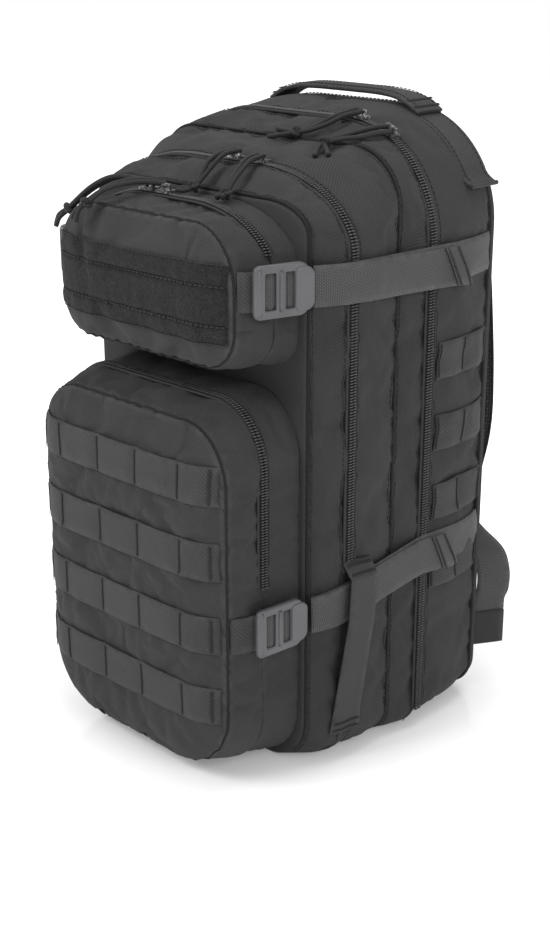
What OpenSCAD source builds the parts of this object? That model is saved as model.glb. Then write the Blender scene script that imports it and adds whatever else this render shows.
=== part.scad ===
// Trauma backpack: an assault-pack style bag that stands on its base.
// X runs across the bag, Y from the front pockets (-Y) to the harness (+Y), Z up from the base.
// The origin is the centre of the footprint, on the surface that the bag stands on.

/* [Main compartment] */
// Width across the rear edge, where the back panel is sewn in
rear_w = 218; // [200:1:224]
// Height of the rear edge
rear_h = 420; // [405:1:440]
// Radius of the top corners of the rear edge and of the main zip
top_r = 72; // [60:1:80]
// Depth from the rear edge to the main zip
rear_depth = 67; // [55:1:85]
// Width across the main zip
main_zip_w = 229; // [224:1:240]
// Height of the main zip's track
main_zip_h = 417; // [408:1:425]
// Depth from the main zip to the seam of the divider
main_front_depth = 28; // [22:1:36]
// Width across the divider seam
seam_w = 220; // [214:1:226]
// Height of the divider seam
seam_h = 405; // [400:1:412]

/* [Middle compartment] */
// Depth from the divider seam to the middle zip
mid_rear_depth = 41; // [34:1:50]
// How much narrower the middle zip is than the divider seam
mid_narrowing = 1; // [0:0.5:6]
// Height of the middle zip's track
mid_zip_h = 393; // [388:1:399]
// Height above the base at which the middle zip ends on each side
mid_zip_end = 140; // [130:1:150]
// Depth from the middle zip to the front wall's seam
mid_front_depth = 27; // [22:1:34]
// Width across the front wall
front_w = 196; // [192:1:204]
// Height of the front wall
front_h = 379; // [377:1:386]

/* [Upper pocket] */
// Width of the pocket's face
upper_w = 162; // [154:1:168]
// Height above the base of the pocket's underside
upper_bottom = 282; // [278:1:288]
// Height above the base of the top of the pocket's face
upper_top = 370; // [368:1:373]
// Depth from the front wall to the pocket's zip
upper_rear_depth = 19; // [17:1:22]
// Depth from the zip to the pocket's face
upper_front_depth = 28; // [24:1:32]
// How far the face bulges forward at its middle
upper_crown = 10; // [6:1:14]
// Height above the base at which the flap folds
upper_fold = 350; // [348:1:353]

/* [Lower pocket] */
// Width of the pocket's face
lower_w = 176; // [168:1:180]
// Height above the base of the bottom of the pocket's face
lower_bottom = 12; // [8:1:18]
// Height above the base of the top of the pocket's face
lower_top = 250; // [244:1:254]
// Depth from the front wall to the pocket's zip
lower_rear_depth = 32; // [28:1:38]
// Depth from the zip to the pocket's face
lower_front_depth = 30; // [26:1:36]
// How far the face bulges forward at its middle
lower_crown = 12; // [8:1:16]
// Height above the base at which the flap folds
lower_fold = 140; // [137:1:144]

/* [Fabric and zips] */
// Thickness of a padded fabric wall
wall = 3; // [2:0.5:4]
// Width of one half of a zip's tape and chain
zip_tape = 5.5; // [4:0.5:7]
// Height that a zip's chain stands above the fabric
chain_t = 2; // [1.5:0.5:2.5]
// Thickness of the frame sheet
frame_t = 1.5; // [1:0.5:2.5]
// Thickness of the back panel
back_t = 6; // [4:1:9]
// Height of the cushions on the back panel
pad_t = 12; // [8:1:16]

/* [Webbing] */
// Width of the webbing
web = 25.4; // [22:0.2:28]
// Thickness of the webbing
web_t = 1.5; // [1:0.1:1.6]
// Distance between the webbing rows
row_pitch = 50; // [46:1:51]
// Height above the base of the lowest row on the front pocket
front_row_z = 65; // [62:1:68]
// Height above the base of the lowest row on the sides
side_row_z = 117; // [112:1:119]
// Height of the middle of the upper compression straps
upper_strap_z = 332; // [328:1:333]
// Height of the middle of the lower compression straps at their buckles
lower_strap_z = 114; // [112:1:116]
// How much the lower straps rise from their buckles to the rear edge
lower_strap_rise = 20; // [10:1:22]
// Length of the free tail of each compression strap
tail_l = 132; // [100:1:140]

/* [Buckles and sliders] */
// Length of a ladder-lock buckle, along its webbing
lock_l = 37; // [34:1:39]
// Height of a ladder-lock buckle
lock_h = 31; // [30:0.5:33]
// Thickness of a ladder-lock buckle
lock_t = 4.4; // [3.6:0.2:5]
// Length of a zip slider
slider_l = 11; // [9:1:13]
// Width of a zip slider
slider_w = 8.5; // [7:0.5:10]
// Diameter of the cord on the zip pulls
cord_d = 3.2; // [2.6:0.2:3.6]

/* [Harness] */
// Width of a shoulder strap
shoulder_w = 62; // [50:1:68]
// Thickness of a shoulder strap
shoulder_t = 12; // [8:1:14]
// Height of the carry handle's grip above its ends
handle_rise = 13; // [9:1:20]
// Distance between the carry handle's ends
handle_span = 136; // [120:1:150]

/* [Hidden] */

gap = 0.3;          // clearance between pieces that part from each other
big = 600;          // size of the blocks that cut a piece at a fold
mid_zip_w = seam_w - mid_narrowing;

// Depths of the seams and zips, front to rear
lower_y = -(rear_depth + main_front_depth + mid_rear_depth + mid_front_depth
  + lower_rear_depth + lower_front_depth) / 2;
lower_zip_y = lower_y + lower_front_depth;
front_y = lower_zip_y + lower_rear_depth;
upper_zip_y = front_y - upper_rear_depth;
upper_y = upper_zip_y - upper_front_depth;
mid_y = front_y + mid_front_depth;
seam_y = mid_y + mid_rear_depth;
main_y = seam_y + main_front_depth;
rear_y = main_y + rear_depth;
back_y = rear_y + back_t;

// Outlines: half width, bottom, top, top corner across and up, bottom corner
base_t = 4;
rear_o = [rear_w / 2, base_t, rear_h, top_r, top_r, 22];
main_o = [main_zip_w / 2, base_t, main_zip_h, top_r, top_r, 20];
panel_o = [main_zip_w / 2, 0, main_zip_h, top_r, top_r, 20];
seam_o = [seam_w / 2, 0, seam_h, 36, 36, 24];
mid_o = [mid_zip_w / 2, 0, mid_zip_h, 78, 45, 28];
front_o = [front_w / 2, 0, front_h, 34, 18, 34];
upper_root_o = [upper_w / 2 + 11, upper_bottom - 4, upper_top + 6.5, 60, 34, 22];
upper_zip_o = [upper_w / 2 + 6, upper_bottom - 2, upper_top + 5, 66, 41, 24];
upper_o = [upper_w / 2, upper_bottom, upper_top, 34, 38, 26];
lower_root_o = [lower_w / 2 + 5, 2, lower_top + 11, 38, 40, 40];
lower_zip_o = [lower_w / 2 + 2, 6, lower_top + 8, 38, 41, 45];
lower_o = [lower_w / 2, lower_bottom, lower_top, 35, 39, 48];
bulge = 2;          // how far a gusset swells between its seams

// Webbing rows
front_rows = [for (i = [0:3]) front_row_z + i * row_pitch];
side_rows = [for (i = [0:3]) side_row_z + i * row_pitch];
crown_run = 30;     // width of a pocket face's rounded margin
crown_steps = [0, 5, 14, crown_run];

// ---- helpers -------------------------------------------------------------

function mix(a, b, t = 0.5) = a + (b - a) * t;
function unit(v) = v / norm(v);
function inset(o, d) = concat([o[0] - d, o[1] + d, o[2] - d], [for (i = [3:5]) max(o[i] - d, 1)]);
function swell(o, d) = [o[0] + d, o[1], o[2] + d, o[3], o[4], o[5]];
function arc(cx, cz, rx, rz, a0, a1, n) =
  [for (i = [0:n]) let (a = a0 + (a1 - a0) * i / n) [cx + rx * cos(a), cz + rz * sin(a)]];
function between(p, q, n) = [for (i = [1:n]) mix(p, q, i / (n + 1))];

// The outline of a panel, anticlockwise from its lower right corner
function outline(o) =
  let (w = o[0], z0 = o[1], h = o[2], rx = o[3], rz = o[4], rb = o[5])
  concat(
    arc(w - rb, z0 + rb, rb, rb, -90, 0, 4),
    between([w, z0 + rb], [w, h - rz], 3),
    arc(w - rx, h - rz, rx, rz, 0, 90, 8),
    between([w - rx, h], [rx - w, h], 3),
    arc(rx - w, h - rz, rx, rz, 90, 180, 8),
    between([-w, h - rz], [-w, z0 + rb], 3),
    arc(rb - w, z0 + rb, rb, rb, 180, 270, 4));
function ring(o, y) = [for (p = outline(o)) [p[0], y, p[1]]];

// Skin through a list of rings: a closed loop of rings, or a stack with flat ends
module skin(rings, loop = false) {
  n = len(rings[0]);
  m = len(rings);
  sides = [for (i = [0:m - (loop ? 1 : 2)]) for (j = [0:n - 1])
    let (k = (j + 1) % n, next = ((i + 1) % m) * n, a = i * n + j, b = i * n + k, c = next + k, d = next + j)
    each [[a, b, c], [a, c, d]]];
  ends = loop ? [] : [[for (j = [n - 1:-1:0]) j], [for (j = [0:n - 1]) (m - 1) * n + j]];
  polyhedron(points = [for (r = rings) each r], faces = concat(sides, ends));
}

// A fabric wall that runs round the bag through stations of [outline, y], front to rear
module gusset(stations) {
  n = len(stations);
  outer = [for (s = stations) ring(s[0], s[1])];
  inner = [for (i = [n - 1:-1:0]) ring(inset(stations[i][0], wall), stations[i][1])];
  skin(concat(outer, inner), loop = true);
}

// Depth of a crowned face at a distance d inside its outline
function crown_at(d, y, crown) = lookup(d, [for (s = crown_steps)
  [s, y - crown * (1 - pow(1 - s / crown_run, 2))]]);

// A crowned pocket face
module pocket_face(o, y, crown) {
  n = len(crown_steps);
  front = [for (i = [n - 1:-1:0]) ring(inset(o, crown_steps[i]), crown_at(crown_steps[i], y, crown))];
  rear = [for (s = crown_steps) ring(inset(o, s), crown_at(s, y, crown) + wall)];
  skin(concat(front, rear));
}

module panel(o, y0, y1) {
  translate([0, y1, 0]) rotate([90, 0, 0]) linear_extrude(y1 - y0) polygon(outline(o));
}

// Half of a zip: its tape and chain lie on the gusset's edge, open at the bottom
module zip_half(o, y0, y1, z_end) {
  translate([0, y1, 0]) rotate([90, 0, 0]) linear_extrude(y1 - y0) difference() {
    polygon(outline(inset(o, -gap - chain_t)));
    polygon(outline(inset(o, -gap)));
    translate([-big / 2, z_end - big]) square([big, big]);
  }
}

module above(z) { intersection() { children(); translate([-big / 2, -big / 2, z]) cube(big); } }
module below(z) { intersection() { children(); translate([-big / 2, -big / 2, z - big]) cube(big); } }

// A section swept along a path; across is the direction of the section's width
function frame_at(path, i, across) =
  let (t = unit(path[min(i + 1, len(path) - 1)] - path[max(i - 1, 0)]),
    n = unit(cross(t, across)))
  [cross(n, t), n];
module sweep(path, sections, across) {
  skin([for (i = [0:len(path) - 1]) let (f = frame_at(path, i, across))
    [for (p = sections[i]) path[i] + f[0] * p[0] + f[1] * p[1]]]);
}
function flat_section(w, t) = [[-w, -t], [-w, t], [w, t], [w, -t]] / 2;
function pad_section(w, t) = [[-w, -t * 0.3], [-w, t * 0.3], [-w * 0.86, t], [w * 0.86, t],
  [w, t * 0.3], [w, -t * 0.3], [w * 0.86, -t], [-w * 0.86, -t]] / 2;
function round_section(r, n = 8) = [for (i = [0:n - 1]) [r * cos(-360 * i / n), r * sin(-360 * i / n)]];
module ribbon(path, w, t, across = [0, 0, 1]) {
  sweep(path, [for (p = path) flat_section(w, t)], across);
}
module both_sides() { children(); mirror([1, 0, 0]) children(); }

// ---- rear section --------------------------------------------------------

// Outline value i of the rear gusset at a depth y: its half width is value 0
rear_mid_y = (main_y + zip_tape + rear_y) / 2;
rear_mid_o = swell(mix(main_o, rear_o), bulge);
function rear_at(y, i = 0) = lookup(y, [[main_y, main_o[i]], [main_y + zip_tape, main_o[i]],
  [rear_mid_y, rear_mid_o[i]], [rear_y, rear_o[i]]]);

module base_panel() {
  color("dimgray") translate([-rear_w / 2 + 14, main_y + zip_tape, 0])
    cube([rear_w - 28, rear_depth - zip_tape - 4, base_t]);
}

module rear_gusset() {
  color("dimgray") gusset([[main_o, main_y + gap], [main_o, main_y + zip_tape], [rear_mid_o, rear_mid_y],
    [rear_o, rear_y]]);
}

module back_panel() { color("gray") panel(rear_o, rear_y, back_y); }

sheet_o = inset(rear_o, wall + 6);
module frame_sheet() { color("white") panel(sheet_o, rear_y - gap - frame_t, rear_y - gap); }

sleeve_top = rear_h * 0.81;
sleeve_bottom = rear_h * 0.095;
sleeve_x = rear_w / 2 - 31;
sleeve_depth = 9;
sleeve_t = 1.5;
module hydration_sleeve() {
  y = rear_y - 2 * gap - frame_t;
  color("darkgray") difference() {
    translate([-sleeve_x, y - sleeve_depth, sleeve_bottom])
      cube([2 * sleeve_x, sleeve_depth, sleeve_top - sleeve_bottom]);
    translate([-sleeve_x + sleeve_t, y - sleeve_depth + sleeve_t, sleeve_bottom + sleeve_t])
      cube([2 * (sleeve_x - sleeve_t), sleeve_depth - 2 * sleeve_t, sleeve_top]);
  }
}

// A cushion of the back panel, with a crown and drawn-in sides
module cushion(x, z0, w, h, r) {
  o = [w / 2, z0, z0 + h, r, r, r];
  translate([x, 0, 0]) skin([
    ring(inset(o, 0.5), back_y + gap),
    ring(o, back_y + gap + pad_t * 0.35),
    ring(inset(o, 4), back_y + gap + pad_t * 0.75),
    ring(inset(o, 14), back_y + gap + pad_t)]);
}
module back_pads() {
  color("darkslategray") {
    both_sides() cushion(rear_w * 0.24, rear_h * 0.357, rear_w * 0.358, rear_h * 0.476, 20);
    cushion(0, rear_h * 0.08, rear_w * 0.734, rear_h * 0.186, 24);
  }
}

module main_zip_rear() {
  color("black") zip_half(main_o, main_y + gap / 2, main_y + zip_tape - gap, 14);
}

module side_webbing() {
  ys = [main_y + zip_tape + 3, rear_mid_y, rear_y - 3];
  color("darkslategray") both_sides() for (z = side_rows)
    ribbon([for (y = ys) [rear_at(y) + gap + web_t / 2, y, z]], web, web_t);
}

yoke_y = rear_y - 16;
yoke_w = 27;
yoke_t = 2;
// The band lies flat across the gusset, on whichever of the band's edges meets the larger outline
function yoke_at(i) = max(rear_at(yoke_y - yoke_w / 2, i), rear_at(yoke_y + yoke_w / 2, i));
yoke_r = top_r + 3 * gap + yoke_t / 2;
function yoke_point(a) = [yoke_at(0) - top_r + yoke_r * cos(a), yoke_at(2) - top_r + yoke_r * sin(a)];
module handle_yoke() {
  right = concat([yoke_point(30) + [9, -6]], [for (a = [30:12:90]) yoke_point(a)]);
  all = concat(right, [for (i = [len(right) - 1:-1:0]) [-right[i][0], right[i][1]]]);
  color("gray") ribbon([for (p = all) [p[0], yoke_y, p[1]]], yoke_w, yoke_t, [0, 1, 0]);
}

handle_w = 25;
handle_t = 2.6;
handle_end_z = yoke_point(90)[1] - yoke_r
  + sqrt(pow(yoke_r, 2) - pow(max(handle_span / 2 - yoke_point(90)[0], 0), 2));
module carry_handle() {
  z0 = handle_end_z + yoke_t / 2 + handle_t / 2 + 0.4 * gap;
  half = handle_span / 2;
  side = [[half, 0], [half * 0.86, handle_rise * 0.45], [half * 0.66, handle_rise * 0.8],
    [half * 0.38, handle_rise * 0.96]];
  right = [for (p = side) [p[0], yoke_y, z0 + p[1]]];
  left = [for (i = [3:-1:0]) [-right[i][0], yoke_y, right[i][2]]];
  color("dimgray") ribbon(concat(right, [[0, yoke_y, z0 + handle_rise]], left),
    handle_w, handle_t, [0, 1, 0]);
}

// Shoulder straps: sewn in near the top of the back panel, bowed off it, ending above the webbing
strap_x = rear_w * 0.193;
top_strap_z = rear_h * 0.938;
strap_lean = 34;    // how far a strap stands off the back panel
strap_spread = [-0.1, 0, 0.1, 0.19, 0.285, 0.405, 0.545, 0.62];
strap_bow = [0.22, 0.55, 0.85, 1, 1.02, 0.97, 0.85, 0.7];
strap_drop = [0, 0.038, 0.105, 0.2, 0.3, 0.4, 0.495, 0.562];
function strap_path(s) = [for (i = [0:7])
  [s * strap_x * (1 + strap_spread[i]), back_y + strap_lean * strap_bow[i],
    top_strap_z - rear_h * strap_drop[i]]];
module shoulder_strap(s) {
  path = strap_path(s);
  n = len(path);
  widths = [0.8, 0.95, 1, 1, 1, 0.98, 0.9, 0.66];
  sweep(path, [for (i = [0:n - 1]) pad_section(shoulder_w * widths[i], shoulder_t)], [1, 0, 0]);
}
module left_shoulder_strap() { color("darkslategray") shoulder_strap(-1); }
module right_shoulder_strap() { color("darkslategray") shoulder_strap(1); }

// Strap ends: the plastic adjusters, the webbing below them and the wings in the rear seam
strap_end = strap_path(1)[7];
adjuster_z = strap_end[2] - 9.9;
wing_z = 60;
module strap_adjusters() {
  color("black") both_sides() translate([strap_end[0], strap_end[1], adjuster_z]) difference() {
    translate([-17, -2.5, -15]) cube([34, 5, 22]);
    for (z = [-9.5, -0.5]) translate([-13.5, -5, z - 2]) cube([27, 10, 4]);
  }
}
wing_y = back_y + 12;
wing_across = unit([0.5, 0.85, 0]);
lifter_x = strap_x - 9;
roll_r = 4.5;
module strap_webbing() {
  end = [strap_end[0], strap_end[1], adjuster_z - 16 - gap];
  lower = [end, end + [1, -0.5, -9], end + [12, -1, -18], [rear_w / 2 - 2, wing_y + 2, 106],
    [rear_w / 2 + 5, wing_y + 2, 92], [rear_w / 2 + 5.5, wing_y + 1, wing_z + 17],
    [rear_w / 2 + 2.4, wing_y, wing_z + 9], [rear_w / 2 + 2, wing_y, wing_z + 2 * gap]];
  on_strap = back_y + strap_lean + shoulder_t / 2 + gap + 0.8;
  lifter = [[lifter_x, back_y + gap, rear_h - 16], [lifter_x, back_y + 13, rear_h - 17],
    [lifter_x, back_y + 28, rear_h - 29], [lifter_x + 1, on_strap - 4, top_strap_z - 20],
    [lifter_x + 3, on_strap - 1, top_strap_z - 42], [lifter_x + 5, on_strap - 0.3, top_strap_z - 60]];
  color("dimgray") both_sides() {
    ribbon(lower, web, 2, wing_across);
    ribbon(lifter, 20, 1.6, [1, 0, 0]);
    translate([lifter_x + 14, back_y + roll_r + gap, rear_h - 9.5]) rotate([0, 110, 0])
      cylinder(h = 26, r = roll_r, $fn = 32);
  }
}
module strap_wings() {
  inner = -(wing_y - back_y - 4 * gap) / wing_across[1];     // from the webbing's middle to the back panel
  middle = [rear_w / 2 + 2, wing_y, 0] + wing_across * (inner + web / 2) / 2;
  color("gray") both_sides()
    ribbon([for (z = [wing_z - 26, wing_z]) middle + [0, 0, z]], web / 2 - inner, 3, wing_across);
}

// The sternum strap clips across both shoulder straps and slides along them
sternum_z = top_strap_z - rear_h * 0.248;
module sternum_strap() {
  y = back_y + strap_lean + shoulder_t / 2 + gap + 1;
  half = strap_x + 30;
  color("black") {
    translate([-half, y, sternum_z - 10]) cube([2 * half, 1.6, 20]);
    translate([-22, y - 2, sternum_z - 13]) cube([44, 7, 26]);
    both_sides() translate([strap_x - 18, y + 1.6, sternum_z - 12]) cube([14, 3, 24]);
  }
}

// Compression straps: sewn into the rear seam, over the side, to the ladder-locks
lock_end_y = front_y + 2;                 // rear end of a lock
strap_out = gap + chain_t + gap + web_t / 2 + 0.2;
function strap_side(y_tail, lift, z0, z1) =
  let (pts = [[front_o[0] + 6 + lift, lock_end_y + 1 + gap], [mid_o[0] + strap_out + lift, mid_y - zip_tape],
    [mid_o[0] + strap_out + lift, mid_y],
    [main_o[0] + strap_out + lift, main_y], [rear_mid_o[0] + strap_out + lift, rear_mid_y],
    [rear_o[0] + strap_out - 0.6 + lift, rear_y - 1]],
    y_end = min(y_tail, rear_y - 1),
    kept = [for (p = pts) if (p[1] < y_end - 4) p],
    last = [lookup(y_end, [for (p = pts) [p[1], p[0]]]), y_end])
  [for (p = concat(kept, [last])) [p[0], p[1], mix(z0, z1, min(max((p[1] - lock_end_y) / 90, 0), 1))]];
module compression_strap(z0, z1) {
  ribbon(strap_side(rear_y, 0, z0, z1), web, web_t);
  ribbon(strap_side(lock_end_y + tail_l, web_t + gap, z0, z1), web, web_t);
}
module upper_compression_straps() {
  color("slategray") both_sides() compression_strap(upper_strap_z, upper_strap_z);
}
module lower_compression_straps() {
  color("slategray") both_sides() compression_strap(lower_strap_z + 1, lower_strap_z + lower_strap_rise);
}

// ---- main panel ----------------------------------------------------------

main_mid_o = swell(mix(panel_o, seam_o), bulge / 2);
module main_gusset() {
  color("dimgray") gusset([[seam_o, seam_y], [main_mid_o, (seam_y + main_y - zip_tape) / 2],
    [panel_o, main_y - zip_tape], [panel_o, main_y - gap]]);
}
mid_rear_mid_o = swell(mix(seam_o, mid_o), bulge);
module mid_gusset_rear() {
  color("dimgray") gusset([[mid_o, mid_y + gap], [mid_o, mid_y + zip_tape],
    [mid_rear_mid_o, (seam_y + mid_y + zip_tape) / 2], [seam_o, seam_y - gap / 3]]);
}
divider_t = 3;
organizer_t = 1.6;
elastic_t = 2.4;
module divider_wall() {
  color("gray") panel(inset(seam_o, wall + gap), seam_y, seam_y + divider_t);
}
module divider_organizer() {
  y = seam_y + divider_t + gap;
  color("darkgray") {
    translate([-seam_w * 0.4, y, seam_h * 0.11]) cube([seam_w * 0.8, organizer_t, seam_h * 0.3]);
    for (i = [0:2]) translate([-seam_w * 0.355, y, seam_h * (0.457 + 0.148 * i)])
      cube([seam_w * 0.71, elastic_t, seam_h * 0.074]);
  }
}
module main_zip_front() {
  color("black") zip_half(panel_o, main_y - zip_tape + gap, main_y - gap / 2, 14);
}
module mid_zip_rear() {
  color("black") zip_half(mid_o, mid_y + gap / 2, mid_y + zip_tape - gap, mid_zip_end);
}

// Keepers: a tape down each side with a loop round the lower compression strap
keeper_w = 25;
keeper_t = 1.4;
module strap_keepers() {
  y = mid_y + 4;
  x = mid_o[0] + gap + chain_t + gap + 0.8;
  out = strap_out + 2 * web_t + 2 * gap + 0.9 + mid_o[0];
  z_strap = mix(lower_strap_z, lower_strap_z + lower_strap_rise, 0.32);
  half = web / 2;
  color("slategray") both_sides()
    ribbon([[x, y - 8, 22], [x, y - 4, z_strap - half - 14], [out + 0.6, y, z_strap - half - 1],
      [out + 0.6, y + 1, z_strap + half + 3], [x + 0.4, y + 2, z_strap + half + 14]],
      keeper_w, keeper_t, [0, 1, 0]);
}

// ---- middle panel with its pockets ---------------------------------------

mid_front_mid_o = swell(mix(mid_o, front_o), bulge);
module mid_gusset_front() {
  color("dimgray") gusset([[front_o, front_y], [mid_front_mid_o, (front_y + mid_y - zip_tape) / 2],
    [mid_o, mid_y - zip_tape], [mid_o, mid_y - gap]]);
}
front_wall_t = 2.4;
pocket_root_y = front_y - front_wall_t;
module front_wall() { color("gray") panel(front_o, pocket_root_y, front_y); }
module front_organizer() {
  color("darkgray") {
    translate([-front_w * 0.408, front_y + gap, front_h * 0.158])
      cube([front_w * 0.816, organizer_t, front_h * 0.396]);
    translate([-front_w * 0.357, front_y + gap, front_h * 0.607])
      cube([front_w * 0.714, organizer_t, front_h * 0.237]);
  }
}
module mid_zip_front() {
  color("black") zip_half(mid_o, mid_y - zip_tape + gap, mid_y - gap / 2, mid_zip_end);
}

// Stations of a pocket's gusset behind its zip and in front of it
function behind_zip(root_o, zip_o, zip_y) =
  [[zip_o, zip_y + gap / 2], [zip_o, zip_y + zip_tape], [root_o, pocket_root_y]];
function before_zip(o, y, zip_o, zip_y, end) =
  [[o, y + wall / 2], [swell(mix(o, zip_o), bulge / 2), (y + wall + zip_y - zip_tape) / 2],
    [zip_o, zip_y - zip_tape], [zip_o, zip_y + end]];

module upper_pocket_body() {
  color("dimgray") {
    gusset(behind_zip(upper_root_o, upper_zip_o, upper_zip_y));
    below(upper_fold) {
      gusset(before_zip(upper_o, upper_y, upper_zip_o, upper_zip_y, gap));
      pocket_face(upper_o, upper_y, upper_crown);
    }
  }
}
module upper_pocket_flap() {
  color("dimgray") above(upper_fold + gap) {
    gusset(before_zip(upper_o, upper_y, upper_zip_o, upper_zip_y, -gap));
    pocket_face(upper_o, upper_y, upper_crown);
  }
}
module lower_pocket_body() {
  color("dimgray") {
    gusset(behind_zip(lower_root_o, lower_zip_o, lower_zip_y));
    below(lower_fold) {
      gusset(before_zip(lower_o, lower_y, lower_zip_o, lower_zip_y, gap));
      pocket_face(lower_o, lower_y, lower_crown);
    }
  }
}
module lower_pocket_flap() {
  color("dimgray") above(lower_fold + gap) {
    gusset(before_zip(lower_o, lower_y, lower_zip_o, lower_zip_y, -gap));
    pocket_face(lower_o, lower_y, lower_crown);
  }
}
module pocket_zips_rear() {
  color("black") {
    zip_half(upper_zip_o, upper_zip_y + gap / 2, upper_zip_y + zip_tape - gap, upper_fold + gap);
    zip_half(lower_zip_o, lower_zip_y + gap / 2, lower_zip_y + zip_tape - gap, lower_fold + gap);
  }
}
module upper_flap_zip() {
  color("black")
    zip_half(upper_zip_o, upper_zip_y - zip_tape + gap, upper_zip_y - gap / 2, upper_fold + 2 * gap);
}
module lower_flap_zip() {
  color("black")
    zip_half(lower_zip_o, lower_zip_y - zip_tape + gap, lower_zip_y - gap / 2, lower_fold + 2 * gap);
}

// A strip across a crowned face at height z
module face_row(o, y, crown, z, w, t, edge = 2) {
  ds = [edge, crown_steps[1], crown_steps[2], crown_steps[3]];
  lift = gap + t / 2;
  left = [for (d = ds) [d - o[0], crown_at(d, y, crown) - lift, z]];
  right = [for (i = [3:-1:0]) [-left[i][0], left[i][1], z]];
  ribbon(concat(left, right), w, t);
}
module loop_panel() {
  // Three bands of loop fabric: middle and width of each as parts of the face's height, and its margin
  h = upper_top - upper_bottom;
  color("black") for (s = [[0.68, 0.148, 4], [0.466, 0.273, 2], [0.261, 0.125, 2]])
    face_row(upper_o, upper_y, upper_crown, upper_bottom + s[0] * h, s[1] * h, web_t, s[2]);
}
module lower_front_webbing() {
  color("darkslategray") for (i = [0, 1]) face_row(lower_o, lower_y, lower_crown, front_rows[i], web, web_t);
}
module flap_webbing() {
  color("darkslategray") for (i = [2, 3]) face_row(lower_o, lower_y, lower_crown, front_rows[i], web, web_t);
}

// Ladder-locks: each swings on the webbing stub that is sewn into the pocket's face seam
function lock_pivot(o, y) = [o[0] + 11, y + 10];        // x and y of the stub's bar
function lock_rear(o) = [front_o[0] + 5, lock_end_y];
function lock_yaw(o, y) = let (d = lock_rear(o) - lock_pivot(o, y)) atan2(d[0], d[1]);
module lock_shape() {
  side = 3.2;
  difference() {
    union() {
      translate([-lock_t / 2, 0, -lock_h / 2]) cube([lock_t, lock_l - 6, lock_h]);
      cylinder(h = lock_h, d = lock_t, center = true, $fn = 32);
      translate([0, lock_l - 6, 0]) cylinder(h = lock_h - 4, d = lock_t, center = true, $fn = 32);
      translate([0.4, lock_l - 6, -lock_h / 2 + 4]) cube([1.6, 6, lock_h - 8]);
    }
    translate([-lock_t, 3, -lock_h / 2 + side]) cube([2 * lock_t, 10, lock_h - 2 * side]);
    translate([-lock_t, 17, -lock_h / 2 + side]) cube([2 * lock_t, 8.5, lock_h - 2 * side]);
  }
}
module lock(o, y, z) {
  p = lock_pivot(o, y);
  translate([p[0], p[1], z]) rotate([0, 0, -lock_yaw(o, y)]) lock_shape();
}
module upper_right_lock() { color("slategray") lock(upper_o, upper_y, upper_strap_z); }
module upper_left_lock() { color("slategray") mirror([1, 0, 0]) lock(upper_o, upper_y, upper_strap_z); }
module lower_right_lock() { color("slategray") lock(lower_o, lower_y + 9, lower_strap_z); }
module lower_left_lock() { color("slategray") mirror([1, 0, 0]) lock(lower_o, lower_y + 9, lower_strap_z); }

module stub(o, y, z, dy) {
  p = lock_pivot(o, y + dy);
  turn = [o[0] + 3, y + 3.5];
  end = p + unit(turn - p) * (lock_t / 2 + gap);
  ribbon([[o[0] + 1 + gap, y + 2, z], [turn[0], turn[1], z], [end[0], end[1], z]], web - 1, 1.6);
}
module buckle_stubs() {
  color("slategray") both_sides() {
    stub(upper_o, upper_y, upper_strap_z, 0);
    stub(lower_o, lower_y, lower_strap_z, 9);
  }
}

// ---- zip sliders and their pulls ------------------------------------------

// A slider rides above the chain; its bridge holds the pull. Length along X, width along Y.
slider_t = 1.8;
bridge_l = slider_l - 3;
bridge_w = 2.4;
bridge_h = 3.8;
eye_h = 2.6;        // free height under the bridge
post = 1.6;         // thickness of the bridge's posts
module slider_shape() {
  translate([-slider_l / 2, -slider_w / 2, 0]) cube([slider_l, slider_w, slider_t]);
  translate([0, -bridge_w / 2, slider_t]) difference() {
    translate([-bridge_l / 2, 0, 0]) cube([bridge_l, bridge_w, bridge_h]);
    translate([-bridge_l / 2 + post, -gap, -gap]) cube([bridge_l - 2 * post, bridge_w + 2 * gap, eye_h + gap]);
  }
}
slider_lift = gap + chain_t + gap;
// Angle of each main slider past the end of the straight top, and places of the others
main_angle_a = 7;
main_angle_b = 27;
mid_slide_x = [8, 30];
upper_slide_x = [-24, -8];
lower_slide_z = [200, 182];
module on_main_arc(a) {
  translate([main_o[0] - top_r, main_y, main_zip_h - top_r]) rotate([0, a, 0])
    translate([0, 0, top_r + slider_lift]) children();
}
module on_top(o, x, y) {
  dx = max(abs(x) - (o[0] - o[3]), 0);
  drop = o[4] * (1 - sqrt(1 - pow(dx / o[3], 2)));
  translate([x, y, o[2] - drop * 0.6 + slider_lift]) children();
}
module on_left(o, y, z) { translate([-o[0] - slider_lift, y, z]) rotate([0, -90, 0]) children(); }
module main_slider_a() { color("silver") on_main_arc(main_angle_a) slider_shape(); }
module main_slider_b() { color("silver") on_main_arc(main_angle_b) slider_shape(); }
module mid_slider_a() { color("silver") on_top(mid_o, mid_slide_x[0], mid_y) slider_shape(); }
module mid_slider_b() { color("silver") on_top(mid_o, mid_slide_x[1], mid_y) slider_shape(); }
module upper_slider_a() { color("silver") on_top(upper_zip_o, upper_slide_x[0], upper_zip_y) slider_shape(); }
module upper_slider_b() { color("silver") on_top(upper_zip_o, upper_slide_x[1], upper_zip_y) slider_shape(); }
module lower_slider_a() { color("silver") on_left(lower_zip_o, lower_zip_y, lower_slide_z[0]) slider_shape(); }
module lower_slider_b() { color("silver") on_left(lower_zip_o, lower_zip_y, lower_slide_z[1]) slider_shape(); }

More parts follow.
